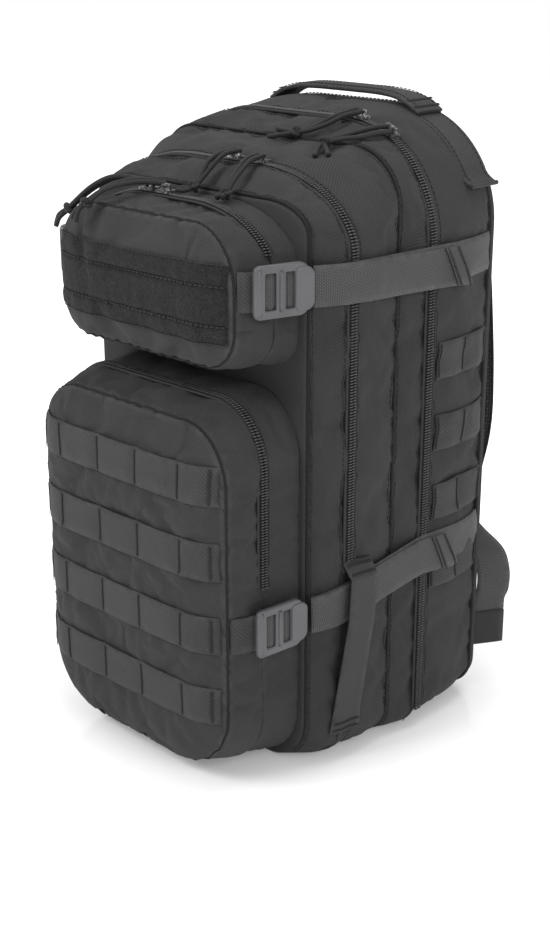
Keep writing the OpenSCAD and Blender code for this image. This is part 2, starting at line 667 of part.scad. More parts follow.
// Cord routes of the pulls, from the slider's bridge through the knot to the tail's end.
// Each pull has two strands; the knot is the third point from the end of the first strand.
main_a_1 = [[50, 42, 424], [45, 36, 422], [38, 30, 418], [31, 23, 413],
  [22, 18, 410], [12, 18, 410], [2, 20, 410]];
main_a_2 = [[54, 41, 423], [49, 33, 421], [42, 25, 416], [33, 19, 412],
  [24, 16, 410], [14, 11, 408], [5, 8, 406]];
main_b_1 = [[76, 42, 416], [75, 34, 416], [70, 25, 414], [63, 16, 411],
  [56, 8, 408], [58, -1, 404], [62, -8, 401]];
main_b_2 = [[80, 41, 413], [79, 32, 413], [74, 22, 411], [66, 13, 410],
  [58, 6, 407], [64, 1, 404], [70, -4, 402]];
mid_a_1 = [[6, -25, 401], [6, -36, 400], [6, -46, 396], [7, -54, 388],
  [8, -60, 382], [3, -61, 381], [-3, -61, 380]];
mid_a_2 = [[11, -25, 401], [11, -37, 400], [10, -46, 394], [9, -54, 387],
  [8, -61, 382], [5, -66, 380], [0, -68, 380]];
mid_b_1 = [[28, -25, 400], [30, -36, 399], [32, -46, 393], [34, -54, 387],
  [36, -60, 381], [38, -64, 380], [41, -67, 380]];
mid_b_2 = [[33, -25, 400], [34, -37, 398], [35, -47, 392], [36, -55, 386],
  [37, -60, 381], [35, -65, 380], [36, -67, 379]];
upper_a_1 = [[-29, -72, 383], [-38, -77, 385], [-48, -83, 384], [-60, -89, 377],
  [-74, -97, 363], [-81, -99, 358], [-86, -98, 351]];
upper_a_2 = [[-29, -68, 383], [-39, -73, 384], [-49, -78, 383], [-62, -86, 375],
  [-75, -95, 362], [-78, -101, 357], [-80, -103, 351]];
upper_b_1 = [[-14, -72, 383], [-20, -80, 384], [-27, -89, 383], [-35, -99, 379],
  [-42, -107, 371], [-47, -111, 367], [-51, -112, 361]];
upper_b_2 = [[-14, -68, 383], [-22, -77, 385], [-30, -86, 384], [-38, -96, 379],
  [-43, -106, 372], [-44, -112, 367], [-45, -114, 360]];
lower_a_1 = [[-97, -84, 194], [-100, -86, 187], [-101, -87, 178], [-100, -88, 169],
  [-99, -88, 161], [-99, -91, 154], [-100, -93, 147]];
lower_a_2 = [[-97, -80, 194], [-100, -82, 187], [-101, -84, 178], [-100, -86, 169],
  [-99, -88, 161], [-99, -86, 154], [-100, -85, 148]];
lower_b_1 = [[-97, -84, 176], [-99, -81, 169], [-101, -78, 161], [-104, -76, 153],
  [-105, -75, 145], [-106, -78, 139], [-107, -80, 133]];
lower_b_2 = [[-97, -80, 176], [-99, -78, 169], [-102, -75, 161], [-105, -74, 153],
  [-106, -75, 145], [-107, -72, 139], [-108, -71, 133]];

module pull(route_1, route_2, across) {
  r = cord_d / 2;
  // The knot is a thick stretch of the first strand
  sizes = [1, 1, 1, 1.2, 2.4, 1, 1];
  sweep(route_1, [for (s = sizes) round_section(r * s)], across);
  sweep(route_2, [for (p = route_2) round_section(r)], across);
}
module main_pull_a() { color("black") pull(main_a_1, main_a_2, [1, -1, 0]); }
module main_pull_b() { color("black") pull(main_b_1, main_b_2, [1, 0.2, 0]); }
module mid_pull_a() { color("black") pull(mid_a_1, mid_a_2, [1, 0, 0.3]); }
module mid_pull_b() { color("black") pull(mid_b_1, mid_b_2, [1, 0, 0.3]); }
module upper_pull_a() { color("black") pull(upper_a_1, upper_a_2, [0.3, -1, 0]); }
module upper_pull_b() { color("black") pull(upper_b_1, upper_b_2, [1, 0, 0.2]); }
module lower_pull_a() { color("black") pull(lower_a_1, lower_a_2, [1, 0, 0]); }
module lower_pull_b() { color("black") pull(lower_b_1, lower_b_2, [1, 0, 0.1]); }

base_panel();
back_panel();
frame_sheet();
back_pads();
rear_gusset();
hydration_sleeve();
main_zip_rear();
side_webbing();
handle_yoke();
left_shoulder_strap();
right_shoulder_strap();
strap_webbing();
strap_wings();
strap_adjusters();
upper_compression_straps();
lower_compression_straps();
carry_handle();
sternum_strap();
main_gusset();
divider_wall();
divider_organizer();
mid_gusset_rear();
main_zip_front();
mid_zip_rear();
strap_keepers();
mid_gusset_front();
front_wall();
front_organizer();
mid_zip_front();
upper_pocket_body();
lower_pocket_body();
pocket_zips_rear();
loop_panel();
lower_front_webbing();
buckle_stubs();
upper_pocket_flap();
upper_flap_zip();
lower_pocket_flap();
lower_flap_zip();
flap_webbing();
upper_left_lock();
upper_right_lock();
lower_left_lock();
lower_right_lock();
main_slider_a();
main_slider_b();
mid_slider_a();
mid_slider_b();
upper_slider_a();
upper_slider_b();
lower_slider_a();
lower_slider_b();
main_pull_a();
main_pull_b();
mid_pull_a();
mid_pull_b();
upper_pull_a();
upper_pull_b();
lower_pull_a();
lower_pull_b();
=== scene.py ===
# Trauma backpack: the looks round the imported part. Sizes in the text are millimetres, meshes are metres.
import math

import bmesh
import bpy
import numpy as np
from mathutils import Matrix, Vector, noise
from mathutils.bvhtree import BVHTree


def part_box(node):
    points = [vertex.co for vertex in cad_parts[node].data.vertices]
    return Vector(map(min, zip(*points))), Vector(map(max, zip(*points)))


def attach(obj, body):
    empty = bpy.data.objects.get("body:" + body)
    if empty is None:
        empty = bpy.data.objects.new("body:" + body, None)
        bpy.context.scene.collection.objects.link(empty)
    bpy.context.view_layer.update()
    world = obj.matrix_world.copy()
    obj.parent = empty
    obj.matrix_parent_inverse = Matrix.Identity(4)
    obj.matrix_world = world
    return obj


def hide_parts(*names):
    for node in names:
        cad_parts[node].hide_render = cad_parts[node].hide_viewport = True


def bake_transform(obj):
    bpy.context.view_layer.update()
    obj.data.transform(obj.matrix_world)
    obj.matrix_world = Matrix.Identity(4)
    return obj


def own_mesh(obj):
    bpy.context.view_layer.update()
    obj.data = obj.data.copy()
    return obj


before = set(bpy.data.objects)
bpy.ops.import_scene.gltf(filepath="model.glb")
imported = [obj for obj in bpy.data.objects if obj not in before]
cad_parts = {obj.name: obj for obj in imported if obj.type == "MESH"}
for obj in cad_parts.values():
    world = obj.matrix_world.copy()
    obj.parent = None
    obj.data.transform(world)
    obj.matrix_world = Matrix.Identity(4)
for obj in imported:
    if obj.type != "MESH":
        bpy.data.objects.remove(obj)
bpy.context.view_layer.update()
scene = bpy.context.scene
scene.view_settings.view_transform = "Standard"

# ---- depths and outlines of the bag, as in the part ------------------------------------------

REAR, BACK, MAIN, SEAM = 112.5, 118.5, 45.5, 17.5
MID, FRONT, ROOT = -23.5, -50.5, -52.9
UPPER_ZIP, UPPER, LOWER_ZIP, LOWER = -69.5, -97.5, -82.5, -112.5
# half width, bottom, top, top corner across and up, bottom corner
REAR_O = (109, 4, 420, 72, 72, 22)
MAIN_O = (114.5, 4, 417, 72, 72, 20)
PANEL_O = (114.5, 0, 417, 72, 72, 20)
SEAM_O = (110, 0, 405, 36, 36, 24)
MID_O = (109.5, 0, 393, 78, 45, 28)
FRONT_O = (98, 0, 379, 34, 18, 34)
UPPER_ROOT_O = (92, 278, 376.5, 60, 34, 22)
UPPER_ZIP_O = (87, 280, 375, 66, 41, 24)
UPPER_O = (81, 282, 370, 34, 38, 26)
LOWER_ROOT_O = (93, 2, 261, 38, 40, 40)
LOWER_ZIP_O = (90, 6, 258, 38, 41, 45)
LOWER_O = (88, 12, 250, 35, 39, 48)
UPPER_FOLD, LOWER_FOLD, MID_ZIP_END = 350, 140, 140
TAPE = 5.5
WEB, WEB_T = 25.4, 1.5
SIDE_ROWS = (117, 167, 217, 267)
STRAP_Z = {"upper": 332, "lower": 115}
LOWER_STRAP_RISE = 19    # the lower strap climbs this far over its first STRAP_RUN
STRAP_RUN = 90


def swell(o, d):
    """An outline d larger at the sides and the top."""
    return (o[0] + d, o[1], o[2] + d, *o[3:])


def mix(a, b, t=0.5):
    """A value between two outlines."""
    return tuple(x * (1 - t) + y * t for x, y in zip(a, b))


REAR_MID = (MAIN + TAPE + REAR) / 2
REAR_MID_O = swell(mix(MAIN_O, REAR_O), 2)
MAIN_MID_O = swell(mix(PANEL_O, SEAM_O), 1)
MID_REAR_O = swell(mix(SEAM_O, MID_O), 2)
MID_FRONT_O = swell(mix(MID_O, FRONT_O), 2)


# ---- camera ------------------------------------------------------------------------------------

def place_camera():
    a, e = math.radians(44.69), math.radians(19.88)
    back = Vector((math.sin(a) * math.cos(e), -math.cos(a) * math.cos(e), math.sin(e)))
    right = Vector((math.cos(a), math.sin(a), 0))
    up = back.cross(right)
    data = bpy.data.cameras.new("camera")
    data.lens, data.sensor_width, data.clip_start, data.clip_end = 58.31, 36, 0.01, 50
    camera = bpy.data.objects.new("camera", data)
    scene.collection.objects.link(camera)
    turn = Matrix((right, up, back)).transposed().to_4x4()
    camera.matrix_world = Matrix.Translation((0.7160, -0.7041, 0.5393)) @ turn
    scene.camera = camera


place_camera()


# ---- node recipes --------------------------------------------------------------------------------

class Recipe:
    """A material's node tree, with short ways to add to it."""

    def __init__(self, name, **shader):
        self.material = bpy.data.materials.new(name)
        self.material.use_nodes = True
        self.tree = self.material.node_tree
        self.shader = self.tree.nodes["Principled BSDF"]
        for key, value in shader.items():
            self.shader.inputs[key.replace("_", " ")].default_value = value

    def node(self, kind, inputs=None, **settings):
        n = self.tree.nodes.new(kind)
        for key, value in settings.items():
            setattr(n, key, value)
        for key, value in (inputs or {}).items():
            self.put(n.inputs[key], value)
        return n

    def put(self, socket, value):
        if isinstance(value, bpy.types.NodeSocket):
            self.tree.links.new(value, socket)
        else:
            socket.default_value = value

    def math(self, operation, a, b=0.0, c=0.0):
        n = self.node("ShaderNodeMath", operation=operation)
        for socket, value in zip(n.inputs, (a, b, c)):
            self.put(socket, value)
        return n.outputs[0]

    def blend(self, fac, a, b, how="MIX"):
        n = self.node("ShaderNodeMix", data_type="RGBA", blend_type=how)
        self.put(n.inputs["Factor"], fac)
        for socket, value in ((n.inputs[6], a), (n.inputs[7], b)):
            self.put(socket, (*value, 1) if isinstance(value, tuple) and len(value) == 3 else value)
        return n.outputs[2]

    def spread(self, value, low, high, to_low=0.0, to_high=1.0):
        return self.node("ShaderNodeMapRange", {0: value, 1: low, 2: high, 3: to_low,
                                                4: to_high}).outputs[0]

    def uv(self):
        n = self.node("ShaderNodeSeparateXYZ", {0: self.node("ShaderNodeUVMap", uv_map="cloth").outputs[0]})
        return n.outputs[0], n.outputs[1]

    def place(self):
        return self.node("ShaderNodeTexCoord").outputs["Object"]

    def clouds(self, scale, detail=3.0, where=None, roughness=0.55):
        return self.node("ShaderNodeTexNoise", {"Vector": where or self.place(), "Scale": scale,
                                                "Detail": detail, "Roughness": roughness}).outputs["Fac"]

    def attribute(self, name):
        return self.node("ShaderNodeAttribute", attribute_name=name).outputs["Fac"]

    def bump(self, height, distance, strength=1.0, below=None):
        n = self.node("ShaderNodeBump", {"Strength": strength, "Distance": distance, "Height": height})
        if below is not None:
            self.put(n.inputs["Normal"], below)
        return n.outputs[0]

    def finish(self, colour=None, roughness=None, normal=None, alpha=None):
        for key, value in (("Base Color", colour), ("Roughness", roughness), ("Normal", normal),
                           ("Alpha", alpha)):
            if value is not None:
                self.put(self.shader.inputs[key], value)
        return self.material


def threads(r, warp, weft, twill):
    """Height of a weave's threads from 0 to 1, and which thread is on top: plain, or a 2 by 2 twill."""
    u, v = r.uv()
    a, b = r.math("MULTIPLY", u, 1000 / warp), r.math("MULTIPLY", v, 1000 / weft)
    across = r.math("ABSOLUTE", r.math("SINE", r.math("MULTIPLY", a, math.pi)))
    along = r.math("ABSOLUTE", r.math("SINE", r.math("MULTIPLY", b, math.pi)))
    count = r.math("ADD", r.math("FLOOR", a), r.math("FLOOR", b))
    cell = r.math("LESS_THAN", r.math("FLOORED_MODULO", count, 4.0), 1.5) if twill else r.math("PINGPONG",
            count, 1.0)
    over = r.math("MULTIPLY", r.math("POWER", across, 0.5), r.math("POWER", along, 1.2))
    under = r.math("MULTIPLY", r.math("POWER", across, 1.2), r.math("POWER", along, 0.5))
    height = r.node("ShaderNodeMix", {0: cell, 2: over, 3: under}).outputs[0]
    return height, cell


def woven(name, colour, warp, weft, depth, rough=0.82, sheen=0.03, weave_shading=0.5,
          worn=(0.085, 0.083, 0.086), twill=False):
    """Cloth of real threads, with slow tone changes, painted shade in the weave's hollows and painted light
    on its crests, cells painted lighter or darker by which thread is on top, and wear where it is marked.
    """
    r = Recipe(name, Sheen_Weight=sheen, Sheen_Roughness=0.45, Specular_IOR_Level=0.22)
    height, cell = threads(r, warp, weft, twill)
    fibre = r.clouds(1500, 2.0)
    slow = r.clouds(14, 4.0)
    slow_tone = r.spread(slow, 0.3, 0.7, 0.88, 1.1)
    # painted shade and highlight: the colour darkens in the hollows between threads and lightens on their
    # crests
    thread = r.spread(height, 0.0, 1.0, 1.0 - weave_shading, 1.0 + weave_shading * 0.35)
    speck = r.spread(fibre, 0.35, 0.7, 0.85, 1.2)
    # painted shading: cells where one thread lies on top are painted lighter than cells where the other
    # does
    level = r.math("MULTIPLY", r.math("MULTIPLY", slow_tone, thread),
                   r.math("MULTIPLY", speck, r.spread(cell, 0, 1, 0.78, 1.2)))
    base = r.blend(1.0, colour, r.node("ShaderNodeCombineXYZ", {0: level, 1: level, 2: level}).outputs[0],
                   "MULTIPLY")
    rub = r.math("MULTIPLY", r.attribute("worn"), r.spread(r.clouds(160, 4.0), 0.35, 0.75))
    base = r.blend(r.math("MINIMUM", rub, 0.5), base, worn)
    folds = r.bump(r.clouds(55, 3.0), 0.0012, 0.35)
    normal = r.bump(r.math("ADD", height, r.math("MULTIPLY", fibre, 0.35)), depth / 1000, 0.9, folds)
    return r.finish(base, r.spread(height, 0, 1, rough + 0.1, rough - 0.08), normal)


def moulded(name, colour, rough, grain=0.05):
    r = Recipe(name, Specular_IOR_Level=0.5)
    fine, slow = r.clouds(900, 2.0), r.clouds(30, 3.0)
    base = r.blend(r.spread(slow, 0.3, 0.7), tuple(c * 0.85 for c in colour),
                   tuple(c * 1.2 for c in colour))
    scuff = r.math("MULTIPLY", r.spread(r.clouds(220, 6.0), 0.6, 0.72), r.attribute("worn"))
    base = r.blend(r.math("MULTIPLY", scuff, 0.5), base, tuple(c * 2.6 + 0.02 for c in colour))
    return r.finish(base, r.spread(slow, 0.3, 0.7, rough - 0.08, rough + 0.1),
                    r.bump(fine, grain / 1000, 0.6))


SHELL = (0.034, 0.0325, 0.034)
CLOTHS = {
    "shell": woven("oxford_shell", SHELL, 0.5, 0.5, 0.10, twill=True),
    "base": woven("coated_base", (0.030, 0.029, 0.031), 1.1, 1.1, 0.12, 0.75),
    "lining": woven("thin_lining", (0.050, 0.050, 0.054), 0.7, 0.7, 0.06, 0.7, weave_shading=0.25),
    # painted shade: near-black cloth for the tubes that stand in for the shade in tight seam folds; the
    # shoulder straps' edging uses it too
    "binding_and_seam_shade": woven("binding_and_seam_shade_cloth", (0.010, 0.010, 0.011), 0.9, 0.9, 0.12, 0.8),
    "webbing": woven("ribbed_webbing", (0.043, 0.0425, 0.044), 0.72, 0.66, 0.24, 0.7, weave_shading=0.6,
                     twill=True),
    "strap": woven("tension_webbing", (0.066, 0.065, 0.068), 1.15, 0.95, 0.30, 0.55, weave_shading=0.66,
                   worn=(0.12, 0.12, 0.122)),
    "tape": woven("zip_tape", (0.016, 0.016, 0.017), 0.8, 0.6, 0.1, 0.75),
    "mesh": woven("spacer_mesh", (0.022, 0.022, 0.023), 2.6, 2.6, 0.8, 0.85, weave_shading=0.8),
    "cord": woven("cord_sheath", (0.018, 0.0175, 0.018), 1.25, 1.25, 0.25, 0.55, weave_shading=0.6),
    "thread": woven("sewing_thread", (0.030, 0.029, 0.031), 0.4, 0.4, 0.05, 0.55, weave_shading=0.3),
}
PLASTIC = moulded("buckle_plastic", (0.060, 0.060, 0.064), 0.42)
COIL = moulded("coil_plastic", (0.030, 0.030, 0.032), 0.30, 0.02)
SHEETING = moulded("frame_sheet_plastic", (0.62, 0.62, 0.60), 0.5)


def loop_pile():
    """Brushed loops, darker than the cloth round them."""
    r = Recipe("loop_pile", Sheen_Weight=0.04, Sheen_Roughness=0.6, Specular_IOR_Level=0.08)
    curls = r.node("ShaderNodeTexVoronoi", {"Vector": r.place(), "Scale": 900.0}).outputs["Distance"]
    tufts = r.clouds(260, 4.0)
    level = r.math("ADD", r.math("MULTIPLY", curls, 0.6), r.math("MULTIPLY", tufts, 0.6))
    base = r.blend(r.spread(level, 0.3, 0.9), (0.006, 0.006, 0.0065), (0.022, 0.0215, 0.022))
    return r.finish(base, 0.95, r.bump(level, 0.0009, 1.0))


def slider_metal():
    """Black lacquer that has worn to bright zinc along the slider's edges."""
    r = Recipe("lacquered_zinc")
    wear = r.spread(r.math("ADD", r.clouds(420, 4.0), r.math("MULTIPLY", r.attribute("worn"), 0.35)),
                    0.52, 0.66)
    r.put(r.shader.inputs["Metallic"], r.spread(wear, 0, 1, 0.35, 1.0))
    return r.finish(r.blend(wear, (0.05, 0.05, 0.052), (0.62, 0.62, 0.63)),
                    r.spread(wear, 0, 1, 0.34, 0.24), r.bump(r.clouds(700, 2.0), 0.00003, 0.5))


PILE, METAL = loop_pile(), slider_metal()


# ---- mesh helpers ---------------------------------------------------------------------------------

def link(name, mesh, material):
    """A shown object from a mesh and a material."""
    ob = bpy.data.objects.new(name, mesh)
    scene.collection.objects.link(ob)
    mesh.materials.append(material)
    for p in mesh.polygons:
        p.use_smooth = True
    return ob


def plain(name, points, faces, material, uv=None, worn=None):
    """A mesh from points in mm and faces; each corner has a UV in metres and each point a wear mark."""
    mesh = bpy.data.meshes.new(name)
    mesh.from_pydata((np.asarray(points, float) / 1000).tolist(), [], faces)
    layer = mesh.uv_layers.new(name="cloth")
    if uv is not None:
        layer.data.foreach_set("uv", np.asarray(uv, np.float32).ravel())
    mark = mesh.attributes.new("worn", "FLOAT", "POINT")
    if worn is not None:
        mark.data.foreach_set("value", np.asarray(worn, np.float32).ravel())
    mesh.validate()
    return link(name, mesh, material)


def grid(name, P, material, closed=False, worn=None, uv_row=None):
    """A quad sheet from a grid of points; the columns close on themselves if closed."""
    rows, cols = P.shape[:2]
    wide = np.concatenate([P, P[:, :1]], 1) if closed else P
    middle = wide[rows // 2 if uv_row is None else uv_row]
    u = np.concatenate([[0], np.cumsum(np.linalg.norm(np.diff(middle, axis=0), axis=1))]) / 1000
    v = np.concatenate([[0], np.cumsum(np.linalg.norm(np.diff(P, axis=0), axis=2).mean(1))]) / 1000
    faces, uv = [], []
    for r in range(rows - 1):
        for c in range(cols if closed else cols - 1):
            d = (c + 1) % cols
            faces.append((r * cols + c, r * cols + d, (r + 1) * cols + d, (r + 1) * cols + c))
            uv += [(u[c], v[r]), (u[c + 1], v[r]), (u[c + 1], v[r + 1]), (u[c], v[r + 1])]
    return plain(name, P.reshape(-1, 3), faces, material, uv, None if worn is None else worn.ravel())


def normals_of(P, closed=False):
    """Unit normals of a grid, right-handed over columns and rows."""
    wide = np.concatenate([P[:, -1:], P, P[:, :1]], 1) if closed else np.concatenate(
        [2 * P[:, :1] - P[:, 1:2], P, 2 * P[:, -1:] - P[:, -2:-1]], 1)
    du = wide[:, 2:] - wide[:, :-2]
    dv = np.gradient(P, axis=0)
    n = np.cross(du, dv)
    return n / np.maximum(np.linalg.norm(n, axis=2, keepdims=True), 1e-9)


def wall(ob, t, offset=-1.0):
    """Gives a sheet its thickness t."""
    m = ob.modifiers.new("wall", "SOLIDIFY")
    m.thickness, m.offset, m.use_even_offset = t / 1000, offset, False
    return ob


def wear(ob, body, cloth=None, *nodes):
    """Puts a finished piece on its body, in place of its CAD nodes."""
    if nodes:
        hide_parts(*nodes)
    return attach(ob, body)


def through(points, params, t):
    """Smooth curve through stations: points (S, ...) at params (S,), read at t."""
    points, params, t = np.asarray(points, float), np.asarray(params, float), np.asarray(t, float)
    m = np.empty_like(points)
    m[1:-1] = (points[2:] - points[:-2]) / (params[2:] - params[:-2]).reshape(-1, *[1] * (points.ndim - 1))
    m[0] = (points[1] - points[0]) / (params[1] - params[0])
    m[-1] = (points[-1] - points[-2]) / (params[-1] - params[-2])
    i = np.clip(np.searchsorted(params, t, side="right") - 1, 0, len(params) - 2)
    h = (params[i + 1] - params[i])
    s = ((t - params[i]) / h)
    shape = (-1, *[1] * (points.ndim - 1))
    s, h = s.reshape(shape), h.reshape(shape)
    return ((2 * s**3 - 3 * s**2 + 1) * points[i] + (s**3 - 2 * s**2 + s) * h * m[i]
            + (3 * s**2 - 2 * s**3) * points[i + 1] + (s**3 - s**2) * h * m[i + 1])


def smooth_path(points, n):
    """n points on a smooth curve through a few."""
    points = np.asarray(points, float)
    t = np.concatenate([[0], np.cumsum(np.linalg.norm(np.diff(points, axis=0), axis=1))])
    return through(points, t, np.linspace(0, t[-1], n))


def arc(cx, cz, rx, rz, a0, a1, n):
    """n points on an elliptic arc, without its last."""
    t = np.radians(np.linspace(a0, a1, n, endpoint=False))
    return np.stack([cx + rx * np.cos(t), cz + rz * np.sin(t)], 1)


def line(p, q, n):
    """n points from p towards q, without q."""
    t = np.linspace(0, 1, n, endpoint=False)[:, None]
    return np.array(p, float) * (1 - t) + np.array(q, float) * t


def outline(o, d=0.0, top=20, side=56):
    """Points (x, z) of a panel's outline, d outside it, anticlockwise from the lower right corner."""
    w, z0, h = o[0] + d, o[1] - d, o[2] + d
    rx, rz, rb = (max(r + d, 1.0) for r in o[3:])
    return np.concatenate([
        arc(w - rb, z0 + rb, rb, rb, -90, 0, 10), line((w, z0 + rb), (w, h - rz), side),
        arc(w - rx, h - rz, rx, rz, 0, 90, 26), line((w - rx, h), (rx - w, h), top),
        arc(rx - w, h - rz, rx, rz, 90, 180, 26), line((-w, h - rz), (-w, z0 + rb), side),
        arc(rb - w, z0 + rb, rb, rb, 180, 270, 10), line((rb - w, z0), (w - rb, z0), 26)])


def ring(o, y, d=0.0):
    """An outline as points at depth y."""
    p = outline(o, d)
    return np.stack([p[:, 0], np.full(len(p), y), p[:, 1]], 1)


def fbm(P, scale, seed, stretch=(1, 1, 1)):
    """Smooth noise from about -1 to 1 at points in mm."""
    flat = P.reshape(-1, 3) * np.array(stretch) / scale + seed * 17.3
    return np.array([noise.fractal(Vector(p), 0.6, 2.1, 3) for p in flat]).reshape(P.shape[:-1])


def bvh(*objects):
    """Tree of the objects' final meshes, in mm."""
    points, faces = [], []
    dg = bpy.context.evaluated_depsgraph_get()
    for ob in objects:
        e = ob.evaluated_get(dg)
        mesh = e.to_mesh()
        base = len(points)
        points += [v.co * 1000 for v in mesh.vertices]
        faces += [tuple(base + i for i in p.vertices) for p in mesh.polygons]
        e.to_mesh_clear()
    return BVHTree.FromPolygons(points, faces)


def tube(name, path, radius, material, sides=10, closed=False, radii=None, twist=0.0, caps=True):
    """A round cord along a path, with its UV running round and along it."""
    path = np.asarray(path, float)
    n = len(path)
    step = np.roll(path, -1, 0) - np.roll(path, 1, 0) if closed else np.gradient(path, axis=0)
    t = step / np.maximum(np.linalg.norm(step, axis=1, keepdims=True), 1e-9)
    side = np.cross(t[0], [0.13, 0.31, 0.94])
    side /= np.linalg.norm(side)
    frames = []
    for k in t:
        side = side - k * side.dot(k)
        side /= np.linalg.norm(side)
        frames.append((side, np.cross(k, side)))
    radii = np.full(n, radius) if radii is None else np.asarray(radii)
    if closed:
        a, b = frames[0]
        s, f = frames[-1]
        turn = math.atan2(s.dot(b), s.dot(a))
        angles = -turn * np.arange(n) / n
    else:
        angles = np.zeros(n)
    points = []
    for i in range(n):
        s, f = frames[i]
        for j in range(sides):
            w = 2 * math.pi * j / sides + angles[i]
            points.append(path[i] + radii[i] * (s * math.cos(w) + f * math.sin(w)))
    long = np.concatenate([[0], np.cumsum(np.linalg.norm(np.diff(path, axis=0), axis=1))]) / 1000
    girth = 2 * math.pi * radius / 1000
    faces, uv = [], []
    for i in range(n if closed else n - 1):
        k = (i + 1) % n
        top = long[i + 1] if i + 1 < n else long[-1] + (long[1] - long[0])
        for j in range(sides):
            m = (j + 1) % sides
            faces.append((i * sides + j, i * sides + m, k * sides + m, k * sides + j))
            for (x, y) in ((j, long[i]), (j + 1, long[i]), (j + 1, top), (j, top)):
                uv.append((girth * x / sides + twist * y, y - twist * girth * x / sides))
    if caps and not closed:
        faces.append(tuple(range(sides))[::-1])
        uv += [(0, 0)] * sides
        faces.append(tuple((n - 1) * sides + j for j in range(sides)))
        uv += [(0, 0)] * sides
    return plain(name, points, faces, material, uv)


# ---- repeated pieces: geometry nodes along a path ------------------------------------------------

def repeat_tree():
    """Copies of a small piece along a path: X along it, Z along the path's out attribute."""
    tree = bpy.data.node_groups.new("repeat_along_path", "GeometryNodeTree")
    face = tree.interface
    face.new_socket("Path", in_out="INPUT", socket_type="NodeSocketGeometry")
    face.new_socket("Piece", in_out="INPUT", socket_type="NodeSocketObject")
    face.new_socket("Spacing", in_out="INPUT", socket_type="NodeSocketFloat")
    face.new_socket("Finish", in_out="INPUT", socket_type="NodeSocketMaterial")
    face.new_socket("Pieces", in_out="OUTPUT", socket_type="NodeSocketGeometry")
    add, wire = tree.nodes.new, tree.links.new
    given, result = add("NodeGroupInput"), add("NodeGroupOutput")
    curve, spaced = add("GeometryNodeMeshToCurve"), add("GeometryNodeResampleCurve")
    spaced.mode = "LENGTH"
    piece = add("GeometryNodeObjectInfo")
    along, outward = add("GeometryNodeInputTangent"), add("GeometryNodeInputNamedAttribute")
    outward.data_type = "FLOAT_VECTOR"
    outward.inputs["Name"].default_value = "out"
    first, second = add("FunctionNodeAlignRotationToVector"), add("FunctionNodeAlignRotationToVector")
    first.axis, second.axis, second.pivot_axis = "X", "Z", "X"
    copies, real, finish = add("GeometryNodeInstanceOnPoints"), add("GeometryNodeRealizeInstances"), add(
        "GeometryNodeSetMaterial")
    wire(given.outputs["Path"], curve.inputs[0])
    wire(curve.outputs[0], spaced.inputs["Curve"])
    wire(given.outputs["Spacing"], spaced.inputs["Length"])
    wire(spaced.outputs[0], copies.inputs["Points"])
    wire(given.outputs["Piece"], piece.inputs["Object"])
    wire(piece.outputs["Geometry"], copies.inputs["Instance"])
    wire(along.outputs[0], first.inputs["Vector"])
    wire(first.outputs[0], second.inputs["Rotation"])
    wire(outward.outputs[0], second.inputs["Vector"])
    wire(second.outputs[0], copies.inputs["Rotation"])
    wire(copies.outputs[0], real.inputs[0])
    wire(real.outputs[0], finish.inputs["Geometry"])
    wire(given.outputs["Finish"], finish.inputs["Material"])
    wire(finish.outputs[0], result.inputs[0])
    return tree


REPEAT = repeat_tree()
SOCKETS = {s.name: s.identifier for s in REPEAT.interface.items_tree if s.in_out == "INPUT"}


def small_piece(name, length, width, height, sides=6, rings=4, squared=1.0):
    """A little rounded bar along X that stands on its origin."""
    points, faces = [], []
    for i in range(rings):
        f = i / (rings - 1)
        k = math.sin(math.pi * min(max(f * 0.86 + 0.07, 0), 1)) ** 0.5
        for j in range(sides):
            w = 2 * math.pi * (j + 0.5) / sides
            points.append(((f - 0.5) * length, width / 2 * k * math.cos(w),
                           height / 2 * (1 + k * math.sin(w) * squared)))
    for i in range(rings - 1):
        for j in range(sides):
            m = (j + 1) % sides
            faces.append((i * sides + j, i * sides + m, (i + 1) * sides + m, (i + 1) * sides + j))
    faces += [tuple(range(sides))[::-1], tuple((rings - 1) * sides + j for j in range(sides))]
    ob = plain(name, points, faces, CLOTHS["thread"], [(0, 0)] * sum(len(f) for f in faces))
    bm = bmesh.new()
    bm.from_mesh(ob.data)
    bmesh.ops.recalc_face_normals(bm, faces=bm.faces)
    bm.to_mesh(ob.data)
    bm.free()
    ob.hide_render = True
    return ob


STITCH = small_piece("stitch", 3.0, 0.75, 0.7)
TACK = small_piece("tack_stitch", 0.75, 2.6, 0.7)
TOOTH = small_piece("coil_tooth", 1.15, 3.7, 1.9, sides=8)


def repeat(name, paths, piece, spacing, material):
    """One plain mesh of copies of piece along paths, each path a pair of points and outward directions."""
    points, edges, out = [], [], []
    for path, normals in paths:
        base = len(points)
        points += [tuple(p / 1000) for p in np.asarray(path, float)]
        out += [tuple(n) for n in np.asarray(normals, float)]
        edges += [(base + i, base + i + 1) for i in range(len(path) - 1)]
    mesh = bpy.data.meshes.new(name + "_path")
    mesh.from_pydata(points, edges, [])
    mesh.attributes.new("out", "FLOAT_VECTOR", "POINT").data.foreach_set("vector",
            np.asarray(out, np.float32).ravel())
    holder = bpy.data.objects.new(name + "_path", mesh)
    scene.collection.objects.link(holder)
    m = holder.modifiers.new("repeat", "NODES")
    m.node_group = REPEAT
    m[SOCKETS["Piece"]] = piece
    m[SOCKETS["Spacing"]] = spacing / 1000
    m[SOCKETS["Finish"]] = material
    bpy.context.view_layer.update()
    made = bpy.data.meshes.new_from_object(holder.evaluated_get(bpy.context.evaluated_depsgraph_get()))
    bpy.data.objects.remove(holder)
    if not made.materials:
        made.materials.append(material)
    ob = bpy.data.objects.new(name, made)
    scene.collection.objects.link(ob)
    return ob


# ---- cloth ----------------------------------------------------------------------------------------

